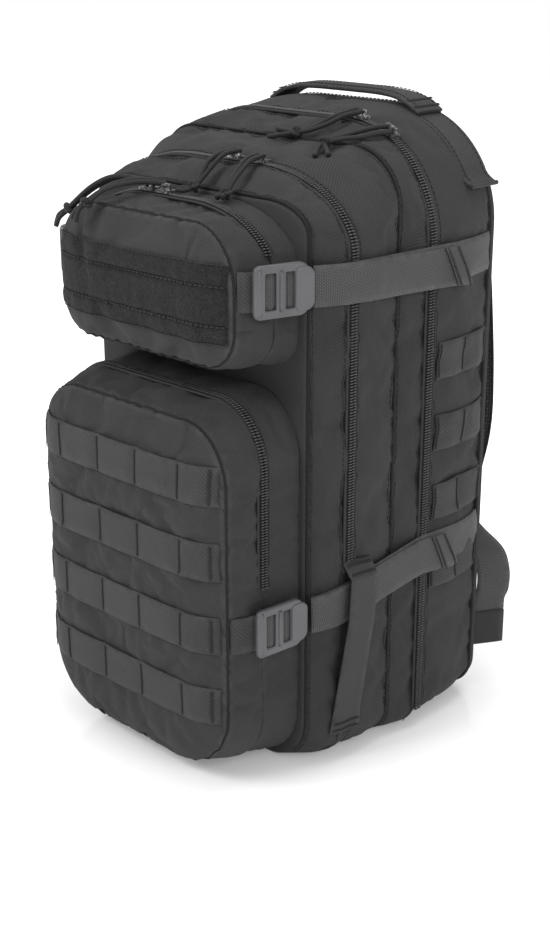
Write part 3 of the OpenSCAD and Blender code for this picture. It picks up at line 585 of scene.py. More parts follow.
def billow(ob, hold, pressure=2.0, grow=0.03, cap=5.0, frames=16, gravity=0.0, bending=0.4):
    """Lets a fabric shell fill out between the seams that hold it. hold is 1 where it can't move."""
    mesh = ob.data
    rest = np.array([v.co for v in mesh.vertices])
    group = ob.vertex_groups.new(name="seams")
    for weight in np.unique(np.round(hold, 2)):
        if weight > 0:
            group.add([int(i) for i in np.nonzero(np.round(hold, 2) == weight)[0]], float(weight),
                      "REPLACE")
    m = ob.modifiers.new("cloth", "CLOTH")
    s = m.settings
    s.quality, s.mass = 5, 0.12
    s.tension_stiffness = s.compression_stiffness = 12
    s.shear_stiffness, s.bending_stiffness = 4, bending
    s.use_pressure, s.uniform_pressure_force = True, pressure
    s.vertex_group_mass, s.pin_stiffness = "seams", 3.0
    s.shrink_min = s.shrink_max = -grow
    s.effector_weights.gravity = gravity
    m.collision_settings.use_collision = m.collision_settings.use_self_collision = False
    m.point_cache.frame_start, m.point_cache.frame_end = 1, frames
    for f in range(1, frames + 1):
        scene.frame_set(f)
    e = ob.evaluated_get(bpy.context.evaluated_depsgraph_get())
    moved = np.array([v.co for v in e.data.vertices])
    ob.modifiers.remove(m)
    ob.vertex_groups.remove(group)
    scene.frame_set(1)
    step = moved - rest
    size = np.linalg.norm(step, axis=1, keepdims=True)
    step *= np.minimum(1, cap / 1000 / np.maximum(size, 1e-9))
    moved = rest + step
    moved[:, 2] = np.maximum(moved[:, 2], np.minimum(rest[:, 2], 0.0003))
    mesh.vertices.foreach_set("co", moved.ravel())
    mesh.update()
    return moved * 1000


def shell(name, stations, rows, body, nodes, full=1.5, crease=1.0, seed=1, cap=4.0, grow=0.02, pressure=1.5,
          t=2.0, cloth="shell"):
    """A fabric wall round the bag through (outline, depth) stations, rear to front, full between seams."""
    ys = [-y for _, y in stations]
    P = through([ring(o, y) for o, y in stations], ys, np.linspace(ys[0], ys[-1], rows))
    N = normals_of(P, True)
    s = np.linspace(0, 1, rows)[:, None]
    window = np.sin(math.pi * s) ** 0.6
    d = window * (full + crease * fbm(P, 60, seed, (1, 0.8, 1)) + 0.25 * crease
                  * fbm(P, 20, seed + 5, (1, 1.6, 0.7)))
    d *= np.clip((P[..., 2] - 1) / 12, 0.0, 1)
    P = P + N * d[..., None]
    worn = np.clip((np.abs(s - 0.5) * 2 - 0.86) / 0.14, 0, 1) * 0.5 * np.ones(P.shape[:2])
    ob = grid(name, P, CLOTHS[cloth], True, worn)
    hold = np.zeros(P.shape[:2])
    hold[0] = hold[-1] = 1
    hold[P[..., 2] < 1.5] = 1
    P = billow(ob, hold.ravel(), pressure, grow, cap).reshape(P.shape)
    wall(ob, t)
    wear(ob, body, cloth, *nodes)
    return ob, P


rear_shell, REAR_P = shell("rear_gusset_cloth", [(REAR_O, REAR), (REAR_MID_O, REAR_MID),
                                                 (MAIN_O, MAIN + TAPE), (MAIN_O, MAIN + 0.4)],
                           22, "rear_section", ["rear_gusset"], 0.8, 0.7, 1, 3.0)
main_shell, MAIN_P = shell("main_gusset_cloth", [(PANEL_O, MAIN - 0.4), (PANEL_O, MAIN - TAPE),
                                                 (MAIN_MID_O, (SEAM + MAIN - TAPE) / 2),
                                                 (SEAM_O, SEAM + 0.3)],
                           14, "main_panel", ["main_gusset"], 1.2, 1.0, 2, 3.5)
mid_rear_shell, MID_REAR_P = shell("mid_rear_gusset_cloth", [(SEAM_O, SEAM - 0.3),
        (MID_REAR_O, (SEAM + MID + TAPE) / 2), (MID_O, MID + TAPE), (MID_O, MID + 0.4)],
                                   17, "main_panel", ["mid_gusset_rear"], 1.2, 1.2, 3, 3.5)
mid_front_shell, MID_FRONT_P = shell("mid_front_gusset_cloth",
                                     [(MID_O, MID - 0.4), (MID_O, MID - TAPE),
                                      (MID_FRONT_O, (FRONT + MID - TAPE) / 2), (FRONT_O, FRONT)],
                                     13, "mid_panel", ["mid_gusset_front"], 1.4, 1.2, 4, 3.5)


def pocket(name, nodes, face_o, y, zip_o, zip_y, crown, rows, tacks, seed, pressure, cap):
    """A pocket's front as one cloth: the gusset from its zip to the face seam, and the crowned face."""
    mid_o = swell(mix(face_o, zip_o), 1)
    ys = [-zip_y, -(zip_y - TAPE), -(y + 3 + zip_y - TAPE) / 2, -(y + 0.5)]
    side = through([ring(zip_o, zip_y), ring(zip_o, zip_y - TAPE), ring(mid_o, -ys[2]),
                    ring(face_o, y + 0.5)],
                   ys, np.linspace(ys[0], ys[-1], 12))
    steps = np.concatenate([[0, 1.6], np.arange(4, min(face_o[0], (face_o[2] - face_o[1]) / 2) - 5, 3.0)])
    face = []
    for k in steps:
        q = min(k / 30, 1)
        face.append(ring(face_o, y - crown * 0.92 * (1 - (1 - q) ** 2), -k))
    P = np.concatenate([side, face[1:]], 0)
    n_side = len(side)
    P[n_side - 1, :, 1] += 0.6          # the seam sits in a shallow groove
    lumps = fbm(P, 48, seed) * 0.9 + fbm(P, 18, seed + 3, (1, 1, 1.5)) * 0.25
    N = normals_of(P, True)
    window = np.ones(len(P))
    window[:n_side] = np.sin(math.pi * np.linspace(0, 1, n_side)) ** 0.6
    window[n_side:] = np.clip(steps[1:] / 14, 0, 1)
    P = P + N * (window[:, None] * lumps)[..., None]
    cols = P.shape[1]
    worn = np.zeros(P.shape[:2])
    worn[n_side - 2:n_side + 1] = 0.35
    ob = grid(name, P, CLOTHS["shell"], True, worn, uv_row=0)
    # close the face's middle, and read its weave straight from x and z
    mesh = ob.data
    bm = bmesh.new()
    bm.from_mesh(mesh)
    bm.verts.ensure_lookup_table()
    base = (len(P) - 1) * cols
    inner = [e for e in bm.edges if e.is_boundary and e.verts[0].index >= base and e.verts[1].index >= base]
    bmesh.ops.triangle_fill(bm, use_beauty=True, use_dissolve=False, edges=inner, normal=(0, -1, 0))
    bm.normal_update()
    layer = bm.loops.layers.uv["cloth"]
    for f in bm.faces:
        if f.normal.y < -0.6:
            for l in f.loops:
                l[layer].uv = (l.vert.co.x, l.vert.co.z)
    bm.to_mesh(mesh)
    bm.free()
    for p in mesh.polygons:
        p.use_smooth = True
    hold = np.zeros(P.shape[:2])
    hold[0] = 1
    hold[n_side - 1] = 0.55
    for z in rows:
        near = np.abs(P[n_side:, :, 2] - z) < WEB / 2
        hold[n_side:][near] = 0.3
        for x in tacks:
            tack = near & (np.abs(P[n_side:, :, 0] - x) < 3)
            hold[n_side:][tack] = 0.9
    low = P[..., 2] < 3
    hold[low] = np.maximum(hold[low], 0.7)
    P = billow(ob, hold.ravel(), pressure, 0.035, cap, 18).reshape(P.shape)
    wall(ob, 2.0)
    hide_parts(*nodes)
    return ob, P, n_side


ROWS = [65, 115, 165, 215]
TACKS = [-57, -19, 19, 57]
UPPER_STRIPS = [(341.8, 13), (323, 24), (305, 11)]
lower_front, LOWER_P, LOWER_SEAM = pocket("lower_pocket_cloth", ["lower_pocket_flap"], LOWER_O, LOWER,
                                          LOWER_ZIP_O, LOWER_ZIP, 12, ROWS, TACKS, 11, 2.2, 6)
upper_front, UPPER_P, UPPER_SEAM = pocket("upper_pocket_cloth", ["upper_pocket_flap"], UPPER_O, UPPER,
                                          UPPER_ZIP_O, UPPER_ZIP, 10, [322], [-66, 66], 17, 2.0, 5)


# ---- laying things on cloth -------------------------------------------------------------------------

def heights(points, toward, tree, far=30.0):
    """How far the surface stands out, against `toward`, from each point."""
    toward = Vector(toward).normalized()
    flat = points.reshape(-1, 3)
    h = np.full(len(flat), np.nan)
    for i, p in enumerate(flat):
        hit = tree.ray_cast(Vector(p) - toward * far, toward, far * 2)
        if hit[0] is not None:
            h[i] = far - hit[3]
    bad = np.isnan(h)
    h[bad] = np.nanmin(h) if (~bad).any() else 0.0
    return h.reshape(points.shape[:-1])


def taut(s, h):
    """The tight line over the heights h at s: their upper hull."""
    hull = []
    for p in sorted(zip(s, h)):
        while len(hull) > 1 and (hull[-1][1] - hull[-2][1]) * (p[0] - hull[-2][0]) <= (p[1]
                - hull[-2][1]) * (hull[-1][0] - hull[-2][0]):
            hull.pop()
        hull.append(p)
    return np.interp(s, [p[0] for p in hull], [p[1] for p in hull])


def across_of(path, toward):
    """Unit directions across a path that lies on cloth."""
    t = np.gradient(path, axis=0)
    a = np.cross(t, np.asarray(toward, float))
    return a / np.linalg.norm(a, axis=1, keepdims=True)


def band(path, toward, width, lanes=7, across=None):
    """A flat band's grid of points along a path, facing against `toward`."""
    a = across_of(path, toward) if across is None else np.broadcast_to(np.asarray(across, float),
            path.shape)
    w = np.linspace(-0.5, 0.5, lanes)[:, None, None] * width
    G = path[None] + a[None] * w
    if (normals_of(G) @ np.asarray(toward, float)).mean() > 0:
        G = G[::-1]
    return G


def ribbon(name, G, t, cloth, round_edge=0.4, worn_edge=0.5):
    """A woven ribbon of thickness t whose outer face is the grid G, with soft edges."""
    lanes = len(G)
    edge = np.abs(np.linspace(-1, 1, lanes)) ** 6
    G = G - normals_of(G) * (edge * round_edge)[:, None, None]
    worn = np.broadcast_to(edge[:, None] * worn_edge, G.shape[:2])
    ob = grid(name, G, CLOTHS[cloth], worn=worn)
    return wall(ob, t)


def laid(name, path, toward, width, t, tree, cloth, lift=0.3, tacks=(), bow=0.9, hull=True, floor=None,
         lanes=7, across=None):
    """A ribbon pulled over cloth, held down at its tacks (places along the path in mm)."""
    G = band(path, toward, width, lanes, across)
    s = np.concatenate([[0], np.cumsum(np.linalg.norm(np.diff(path, axis=0), axis=1))])
    h = heights(G, toward, tree)
    if floor is not None:
        h = np.maximum(h, floor[None])
    out = np.array([taut(s, row) for row in h]) if hull else h.copy()
    out = (out + out.mean(0, keepdims=True)) / 2
    out = np.maximum(out, h)
    if len(tacks):
        near = np.min(np.abs(s[:, None] - np.asarray(tacks)[None]), axis=1)
        out += bow * (1 - np.exp(-(near / 7.0) ** 2))[None]
        soft = np.exp(-(near / 3.0) ** 2)[None]
        out = out * (1 - soft * 0.5) + (h + 0.1) * soft * 0.5
        out = np.maximum(out, h)
    G = G - np.asarray(toward, float) * (out + t + lift)[..., None]
    return ribbon(name, G, t, cloth), G


def rows_of(G, i):
    """A line across a ribbon at column i, with its outward directions."""
    N = normals_of(G)
    n = len(G)
    k = np.linspace(0.06, 0.94, 9) * (n - 1)
    lo = np.floor(k).astype(int).clip(0, n - 2)
    f = (k - lo)[:, None]
    p = G[lo, i] * (1 - f) + G[lo + 1, i] * f
    return p + N[lo, i] * 0.05, N[lo, i]


def along_of(G, lane, lift=0.05, cut=2):
    """A line along a ribbon's lane, with its outward directions."""
    N = normals_of(G)
    return G[lane, cut:-cut] + N[lane, cut:-cut] * lift, N[lane, cut:-cut]


def join(name, objects):
    """Several finished pieces as one, with their modifiers applied."""
    dg = bpy.context.evaluated_depsgraph_get()
    bm = bmesh.new()
    materials = []
    for ob in objects:
        made = bpy.data.meshes.new_from_object(ob.evaluated_get(dg))
        shift = {}
        for i, m in enumerate(made.materials):
            if m not in materials:
                materials.append(m)
            shift[i] = materials.index(m)
        for p in made.polygons:
            p.material_index = shift.get(p.material_index, 0)
        bm.from_mesh(made)
        bpy.data.meshes.remove(made)
        bpy.data.objects.remove(ob)
    mesh = bpy.data.meshes.new(name)
    for m in materials:
        mesh.materials.append(m)
    bm.to_mesh(mesh)
    bm.free()
    ob = bpy.data.objects.new(name, mesh)
    scene.collection.objects.link(ob)
    return ob


# ---- walls behind the pockets' zips, and the flat walls ---------------------------------------------

shell("upper_pocket_rear_cloth", [(UPPER_ROOT_O, ROOT + 0.5), (UPPER_ZIP_O, UPPER_ZIP + TAPE),
                                  (UPPER_ZIP_O, UPPER_ZIP + 0.3)],
                                 9, "mid_panel", ["upper_pocket_body"], 0.8, 0.6, 21, 2.5)
shell("lower_pocket_rear_cloth", [(LOWER_ROOT_O, ROOT + 0.5), (LOWER_ZIP_O, LOWER_ZIP + TAPE),
                                  (LOWER_ZIP_O, LOWER_ZIP + 0.3)],
                                 13, "mid_panel", ["lower_pocket_body"], 0.8, 0.8, 22, 3.0)
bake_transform(lower_front)
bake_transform(upper_front)


def inset(o, d):
    """An outline d inside another on every side."""
    return (o[0] - d, o[1] + d, *(v - d for v in o[2:]))


def close_ends(ob, facing=None):
    """Fills a grid's open ends, and reads the weave of faces along y from x and z where facing is given."""
    bm = bmesh.new()
    bm.from_mesh(ob.data)
    bmesh.ops.holes_fill(bm, edges=[e for e in bm.edges if e.is_boundary], sides=0)
    bmesh.ops.recalc_face_normals(bm, faces=bm.faces)
    layer = bm.loops.layers.uv["cloth"]
    for f in bm.faces:
        if facing is not None and abs(f.normal.y) > facing:
            for corner in f.loops:
                corner[layer].uv = (corner.vert.co.x, corner.vert.co.z)
    bm.to_mesh(ob.data)
    bm.free()


def flat_wall(name, o, y0, y1, body, node, cloth):
    """A flat cloth wall between two depths, its edges a little rounded."""
    steps = [0, 2, 6, 12, 20, 30, 42, 56, min(o[0], (o[2] - o[1]) / 2) - 6]
    faces = []
    for y, sign in ((y0, -1), (y1, 1)):
        rings = np.array([ring(o, y, -k) for k in steps])
        rings[0, :, 1] -= sign * 0.45
        faces.append(rings)
    P = np.concatenate([faces[0][::-1], faces[1]], 0)
    ob = grid(name, P, CLOTHS[cloth], True, uv_row=len(steps) - 1)
    close_ends(ob, 0.6)
    for p in ob.data.polygons:
        p.use_smooth = abs(p.normal.y) > 0.9
    return wear(ob, body, cloth, node)


flat_wall("front_wall_cloth", FRONT_O, ROOT, FRONT, "mid_panel", "front_wall", "shell")
flat_wall("divider_cloth", inset(SEAM_O, 3.3), SEAM, SEAM + 3, "main_panel", "divider_wall", "lining")
flat_wall("back_panel_cloth", REAR_O, REAR, BACK, "rear_section", "back_panel", "base")


# ---- zips -------------------------------------------------------------------------------------------

def track(o, z_end, d=0.3):
    """A zip's path up one side, over the top and down the other, with its outward directions."""
    p = outline(o, d)
    k = [i for i in range(len(p)) if p[i][1] >= z_end and i > 9]
    path = p[k[0]:k[-1] + 1]
    path = np.concatenate([[[path[0][0], z_end]], path, [[path[-1][0], z_end]]])
    t = np.gradient(path, axis=0)
    t /= np.maximum(np.linalg.norm(t, axis=1, keepdims=True), 1e-9)
    return path, np.stack([t[:, 1], -t[:, 0]], 1)


def zip_half(name, o, y, side, z_end, body, *nodes):
    """Tape, coil and rolled cloth edge of half a zip. side is 1 for the half towards the back."""
    path, n = track(o, z_end)
    out = np.stack([n[:, 0], np.zeros(len(n)), n[:, 1]], 1)
    base = np.stack([path[:, 0], np.full(len(path), y), path[:, 1]], 1)
    lanes = np.array([0.5, 1.8, 3.2, 4.6, 5.4])
    lift = np.array([0.55, 0.6, 0.7, 0.75, 0.6])
    G = base[None] + np.array([0, side, 0]) * lanes[:, None, None] + out[None] * lift[:, None, None]
    if (normals_of(G) * out[None]).sum() < 0:
        G = G[::-1]
    tape = wall(grid(name + "_tape", G, CLOTHS["tape"]), 0.5)
    lip = base + np.array([0, side * 5.0, 0]) + out * 0.7
    edge = tube(name + "_edge", lip, 0.85, CLOTHS["shell"], 8)
    teeth = repeat(name + "_coil", [(base + np.array([0, side * 1.55, 0]) + out * 0.65, out)], TOOTH, 1.9,
                   COIL)
    ob = join(name, [tape, edge, teeth])
    return wear(ob, body, "tape", *nodes)


zip_half("main_zip_rear_chain", MAIN_O, MAIN, 1, 14, "rear_section", "main_zip_rear")
zip_half("main_zip_front_chain", PANEL_O, MAIN, -1, 14, "main_panel", "main_zip_front")
zip_half("mid_zip_rear_chain", MID_O, MID, 1, MID_ZIP_END, "main_panel", "mid_zip_rear")
zip_half("mid_zip_front_chain", MID_O, MID, -1, MID_ZIP_END, "mid_panel", "mid_zip_front")
zip_half("upper_zip_rear_chain", UPPER_ZIP_O, UPPER_ZIP, 1, UPPER_FOLD + 0.3, "mid_panel",
         "pocket_zips_rear")
zip_half("lower_zip_rear_chain", LOWER_ZIP_O, LOWER_ZIP, 1, LOWER_FOLD + 0.3, "mid_panel")
zip_half("upper_zip_front_chain", UPPER_ZIP_O, UPPER_ZIP, -1, UPPER_FOLD + 0.6, "upper_flap",
         "upper_flap_zip")
zip_half("lower_zip_front_chain", LOWER_ZIP_O, LOWER_ZIP, -1, LOWER_FOLD + 0.6, "lower_flap",
         "lower_flap_zip")


# ---- seams: dark tubes of painted seam shade, and lines of stitches ---------------------------------

def binding_and_seam_shade(name, P, radius=1.0, body=None):
    """A dark tube along a seam: painted shade of the seam's tight fold."""
    ob = tube(name, P, radius, CLOTHS["binding_and_seam_shade"], 8, closed=True)
    if body:
        wear(ob, body, "binding_and_seam_shade")
    return ob


# painted shade: dark tubes along the seams stand in for the shade in their tight folds
binding_and_seam_shade("rear_seam_piping", ring(REAR_O, REAR - 0.5, 0.5), 1.7, body="rear_section")
binding_and_seam_shade("divider_seam_piping", ring(SEAM_O, SEAM, 0.3) + [0, 0, 0.9], 1.1, body="main_panel")
binding_and_seam_shade("front_seam_piping", ring(FRONT_O, FRONT - 0.3, 0.4) + [0, 0, 1.0], 1.1, body="mid_panel")
lower_seam_shade_tube = binding_and_seam_shade("lower_pocket_piping", LOWER_P[LOWER_SEAM - 1] + [0, -0.2, 0], 0.95)
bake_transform(lower_seam_shade_tube)
upper_seam_shade_tube = binding_and_seam_shade("upper_pocket_piping", UPPER_P[UPPER_SEAM - 1] + [0, -0.2, 0], 0.95)
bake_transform(upper_seam_shade_tube)


def seam_stitches(name, P, rows, body):
    """Lines of stitches along rows of a cloth shell."""
    N = normals_of(P, True)
    paths = []
    for r in rows:
        keep = np.nonzero(P[r][:, 2] > 5)[0]
        paths.append((P[r][keep] + N[r][keep] * 0.15, N[r][keep]))
    ob = repeat(name, paths, STITCH, 3.9, CLOTHS["thread"])
    return wear(ob, body, None)


seam_stitches("rear_gusset_stitches", REAR_P, [1, 19], "rear_section")
seam_stitches("main_gusset_stitches", MAIN_P, [3, 12], "main_panel")
seam_stitches("mid_rear_gusset_stitches", MID_REAR_P, [1, 14], "main_panel")
seam_stitches("mid_front_gusset_stitches", MID_FRONT_P, [3, 11], "mid_panel")


# ---- webbing rows -----------------------------------------------------------------------------------

def face_rows(name, P_tree, rows, body, nodes):
    """Rows of webbing across the lower pocket, with their tacks."""
    ribbons, tacks = [], []
    x = np.linspace(-85.5, 85.5, 70)
    for k, z in enumerate(rows):
        path = np.stack([x, np.full(len(x), LOWER - 8), np.full(len(x), z)], 1)
        ob, G = laid(f"{name}_{k}", path, (0, 1, 0), WEB, 1.3, P_tree, "webbing", lift=0.15,
                     tacks=[3] + [t + 85.5 for t in TACKS] + [168], bow=0.7)
        ribbons.append(ob)
        for t in [-81] + TACKS + [81]:
            i = int(np.argmin(np.abs(x - t)))
            tacks.append(rows_of(G, i))
    wear(join(name, ribbons), body, "webbing", *nodes)
    wear(repeat(name + "_tacks", tacks, TACK, 0.85, CLOTHS["thread"]), body)


lower_tree = bvh(lower_front)
face_rows("lower_front_rows", lower_tree, ROWS[:2], "mid_panel", ["lower_front_webbing"])
face_rows("flap_rows", lower_tree, ROWS[2:], "lower_flap", ["flap_webbing"])


def loop_strips():
    """Three bands of loop fabric across the upper pocket, each with a stitched edge."""
    tree = bvh(upper_front)
    strips, stitches = [], []
    x = np.linspace(-79, 79, 60)
    for k, (z, w) in enumerate(UPPER_STRIPS):
        path = np.stack([x, np.full(len(x), UPPER - 6), np.full(len(x), z)], 1)
        G = band(path, (0, 1, 0), w, 7)
        h = heights(G, (0, 1, 0), tree)
        out = np.maximum(h, (h + h.mean(0, keepdims=True)) / 2)
        G = G - np.array([0, 1.0, 0]) * (out + 1.3)[..., None]
        ob = grid(f"loop_{k}", G - normals_of(G) * (np.abs(np.linspace(-1, 1, 7)) ** 4 * 0.5)[:, None,
                None], PILE)
        strips.append(wall(ob, 1.1))
        for lane in (0, 6):
            stitches.append(along_of(G, lane, -0.2, 1))
    wear(join("loop_strips", strips), "mid_panel", None, "loop_panel")
    wear(repeat("loop_strip_stitches", stitches, STITCH, 3.6, CLOTHS["thread"]), "mid_panel")


loop_strips()

side_tree = bvh(rear_shell, main_shell, mid_rear_shell, mid_front_shell)
rear_tree = bvh(rear_shell)


def side_rows():
    """Rows of webbing on both sides of the rear part."""
    ribbons, tacks = [], []
    y = np.linspace(MAIN + TAPE + 2.5, REAR - 1.5, 30)
    for s in (1, -1):
        for k, z in enumerate(SIDE_ROWS):
            path = np.stack([np.full(len(y), s * 112.0), y, np.full(len(y), float(z))], 1)
            ob, G = laid(f"side_row_{s}_{k}", path, (-s, 0, 0), WEB, 1.3, rear_tree, "webbing", lift=0.15,
                         tacks=[2.5, 29, 55], bow=0.9)
            ribbons.append(ob)
            for i in (1, 14, 28):
                tacks.append(rows_of(G, i))
    wear(join("side_rows", ribbons), "rear_section", "webbing", "side_webbing")
    wear(repeat("side_row_tacks", tacks, TACK, 0.85, CLOTHS["thread"]), "rear_section")


side_rows()


# ---- straps, locks and keepers ----------------------------------------------------------------------

LOCK_REAR = (103, -48.5)
LOCKS = {"upper": (92, -87.5, 332), "lower": (99, -93.5, 114)}


def strap_rise(level, y):
    """A strap's height at depths y: level, or climbing from the lower lock."""
    climb = 0 if level == "upper" else LOWER_STRAP_RISE
    return STRAP_Z[level] + climb * np.clip((y - LOCK_REAR[1]) / STRAP_RUN, 0, 1)


def to_lane_ends(G, s, ends):
    """Cuts a ribbon's grid so that each lane ends at its own place along it."""
    out = []
    for lane, e in zip(G, ends):
        t = np.linspace(0, e, G.shape[1])
        out.append(np.stack([np.interp(t, s, lane[:, k]) for k in range(3)], 1))
    return np.array(out)


def compression_strap(level, side):
    """The strap from the rear seam over the side to the lock, and its free tail on top."""
    y = np.linspace(-51.5, 109.5, 56)
    path = np.stack([np.full(len(y), side * 112.0), y, strap_rise(level, y)], 1)
    floor = np.interp(y, [-51.5, -47.5, -46, -45], [-11.0, -8.0, -60, -60])
    name = f"{level}_{'right' if side > 0 else 'left'}_strap"
    ob, G = laid(name, path, (-side, 0, 0), WEB, WEB_T, side_tree, "strap", lift=0.4, bow=0, floor=floor)
    N = normals_of(G)
    s = np.concatenate([[0], np.cumsum(np.linalg.norm(np.diff(G[3], axis=0), axis=1))])
    lift = 1.7 + 1.4 * np.clip((s - 60) / 60, 0, 1) ** 1.5 + 0.5 * np.sin(s / 17.0) * np.clip(s / 30, 0, 1)
    T = G + N * lift[None, :, None]
    T[:, :, 2] += (-2.5 * np.clip((s - 30) / 100, 0, 1))[None]
    slant = np.linspace(118, 131, len(G))
    if T[0, 0, 2] < T[-1, 0, 2]:
        slant = slant[::-1]
    T = to_lane_ends(T, s, slant)
    tail = ribbon(name + "_tail", T, WEB_T, "strap")
    fold = T[:, -7:] + normals_of(T)[:, -7:] * 1.5
    hem = ribbon(name + "_hem", fold, 1.3, "strap")
    last = normals_of(T)
    tacks = repeat(name + "_tacks", [(T[:, -6] + last[:, -6] * 1.5, last[:, -6]),
                                     (T[:, -2] + last[:, -2] * 1.5, last[:, -2])],
                   TACK, 1.4, CLOTHS["thread"])
    ob = join(name, [ob, tail, hem, tacks])
    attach(ob, "rear_section")
    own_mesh(ob)
    return ob


for level in LOCKS:
    pair = [compression_strap(level, side) for side in (1, -1)]
    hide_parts(f"{level}_compression_straps")


def plate(name, outer, holes, thickness, bevel, material):
    """A flat plastic plate with rounded edges, in its own plane (x, y), around z = 0."""
    curve = bpy.data.curves.new(name, "CURVE")
    curve.dimensions, curve.fill_mode = "2D", "BOTH"
    curve.extrude, curve.bevel_depth, curve.bevel_resolution = (thickness / 2
            - bevel) / 1000, bevel / 1000, 2
    for shape in [outer] + holes:
        spline = curve.splines.new("POLY")
        spline.points.add(len(shape) - 1)
        for p, (x, y) in zip(spline.points, shape):
            p.co = (x / 1000, y / 1000, 0, 1)
        spline.use_cyclic_u = True
    holder = bpy.data.objects.new(name, curve)
    scene.collection.objects.link(holder)
    bpy.context.view_layer.update()
    mesh = bpy.data.meshes.new_from_object(holder.evaluated_get(bpy.context.evaluated_depsgraph_get()))
    bpy.data.objects.remove(holder)
    mesh.materials.clear()
    mesh.materials.append(material)
    ob = bpy.data.objects.new(name, mesh)
    scene.collection.objects.link(ob)
    for p in mesh.polygons:
        p.use_smooth = True
    return ob


def softened(corners, radius, n=5):
    """A polygon with its corners rounded."""
    out = []
    corners = np.asarray(corners, float)
    for i, c in enumerate(corners):
        a, b = corners[i - 1] - c, corners[(i + 1) % len(corners)] - c
        r = min(radius, 0.45 * np.linalg.norm(a), 0.45 * np.linalg.norm(b))
        p, q = c + a / np.linalg.norm(a) * r, c + b / np.linalg.norm(b) * r
        for t in np.linspace(0, 1, n):
            out.append((1 - t) ** 2 * p + 2 * t * (1 - t) * c + t * t * q)
    return [tuple(p) for p in out]


def moved(ob, matrix):
    """The same object, with its points moved."""
    ob.data.transform(matrix)
    return ob


def lock_frame(level, side):
    """Matrix from a lock's own plane (along it, up, outward) to the row frame."""
    px, py, pz = LOCKS[level]
    yaw = math.atan2(LOCK_REAR[0] - px, LOCK_REAR[1] - py)
    along = Vector((math.sin(yaw) * side, math.cos(yaw), 0))
    outward = Vector((math.cos(yaw) * side, -math.sin(yaw), 0))
    m = Matrix.Identity(4)
    for i, v in enumerate((along, Vector((0, 0, 1)), outward)):
        for k in range(3):
            m[k][i] = v[k]
    m.translation = Vector((side * px, py, pz)) / 1000
    return m


def lock(level, side):
    """A ladder-lock with its bars, lip and the webbing wound through it."""
    name = f"{level}_{'right' if side > 0 else 'left'}_lock"
    m = lock_frame(level, side)
    window = [softened([(a, -12.1), (b, -12.1), (b, 12.1), (a, 12.1)], 1.6) for a,
              b in ((3.2, 12.6), (17.2, 25.2))]
    frame_plate = plate(name + "_plate", softened([(-1.9, -15.3), (29.5, -15.3), (33.5, -12.5),
                                                   (33.5, 12.5), (29.5, 15.3), (-1.9, 15.3)], 3.2),
                        window, 3.8, 1.1, PLASTIC)
    lip = plate(name + "_lip", softened([(25.4, -12.6), (34, -12.6), (37, -9.5), (37, 9.5), (34, 12.6),
                                         (25.4, 12.6)], 2.5), [], 2.2, 0.9, PLASTIC)
    moved(lip, Matrix.Translation((0, 0, 0.0016)))
    bar = tube(name + "_bar", [(0, z, 0.2) for z in np.linspace(-14.6, 14.6, 8)], 2.3, PLASTIC, 16)
    rung = tube(name + "_rung", [(15, z, 1.6) for z in np.linspace(-12.2, 12.2, 6)], 1.5, PLASTIC, 12)
    ob = join(name, [frame_plate, lip, bar, rung])
    moved(ob, m)
    wear(ob, name, None, name)
    wave = smooth_path([(-2.5, 0, -2.3), (2.5, 0, -2.2), (5, 0, 0.1), (9.5, 0, 0.9), (12.4, 0, -0.6),
                        (15, 0, -2.6), (18, 0, -0.6), (21, 0, 0.8),
                        (24.4, 0, 0.2), (27, 0, -1.9), (33, 0, -2.7), (37, 0, -2.9)], 60)
    G = np.array([[tuple((m @ Vector(((p[0]) / 1000, w * 23.8 / 1000, p[2] / 1000))) * 1000)
                   for p in wave] for w in np.linspace(-0.5, 0.5, 5)])
    if side < 0:
        G = G[::-1]
    turn = ribbon(name + "_turn", G if (normals_of(G) @ np.array(m.col[2][:3])).mean() > 0 else G[::-1],
                  1.2, "strap")
    wear(turn, name, "strap")


for level in LOCKS:
    for side in (1, -1):
        lock(level, side)


def stubs():
    """Webbing from the pocket's face seam to each lock's first bar."""
    made = []
    for level, (o, y) in (("upper", (UPPER_O, UPPER)), ("lower", (LOWER_O, LOWER))):
        pz = LOCKS[level][2]
        for side in (1, -1):
            m = lock_frame(level, side)
            a = np.array([o[0] + 1.3, y + 2.0])
            tip = m @ Vector((-0.0005, 0, -0.0031))
            b = np.array([abs(tip.x) * 1000, tip.y * 1000])
            mid = (a + b) / 2 + np.array([1.0, -0.2])
            pts = smooth_path([(*a, 0), (*mid, 0), (*b, 0)], 14)
            path = np.stack([pts[:, 0] * side, pts[:, 1], np.full(14, float(pz))], 1)
            d = (path[-1] - path[0])[:2]
            toward = np.array([-abs(d[1]) * side, abs(d[0]), 0])
            toward /= np.linalg.norm(toward)
            G = band(path, toward, 24.4, 5)
            made.append(ribbon(f"{level}_{side}_stub", G, 1.5, "webbing"))
    wear(join("lock_stubs", made), "mid_panel", "webbing", "buckle_stubs")


stubs()


def keepers():
    """A strap loop on each side that the lower strap runs under."""
    made, tacks = [], []
    for side in (1, -1):
        z = np.linspace(23, 147, 50)
        path = np.stack([np.full(len(z), side * 112.0), np.interp(z, [22, 147], [-26.5, -17.5]), z], 1)
        floor = np.interp(z, [98, 106, 137, 143], [-40, 7.2, 7.2, -40])
        ob, G = laid(f"keeper_{side}", path, (-side, 0, 0), 24.5, 1.4, side_tree, "webbing", lift=0.4,
                     bow=0, floor=floor)
        made.append(ob)
        for i in (1, 3, 46, 48):
            tacks.append(rows_of(G, i))
    wear(join("keepers", made), "main_panel", "webbing", "strap_keepers")
    wear(repeat("keeper_tacks", tacks, TACK, 0.9, CLOTHS["thread"]), "main_panel")


keepers()


# ---- yoke, handle and harness -----------------------------------------------------------------------

YOKE_Y = REAR - 16


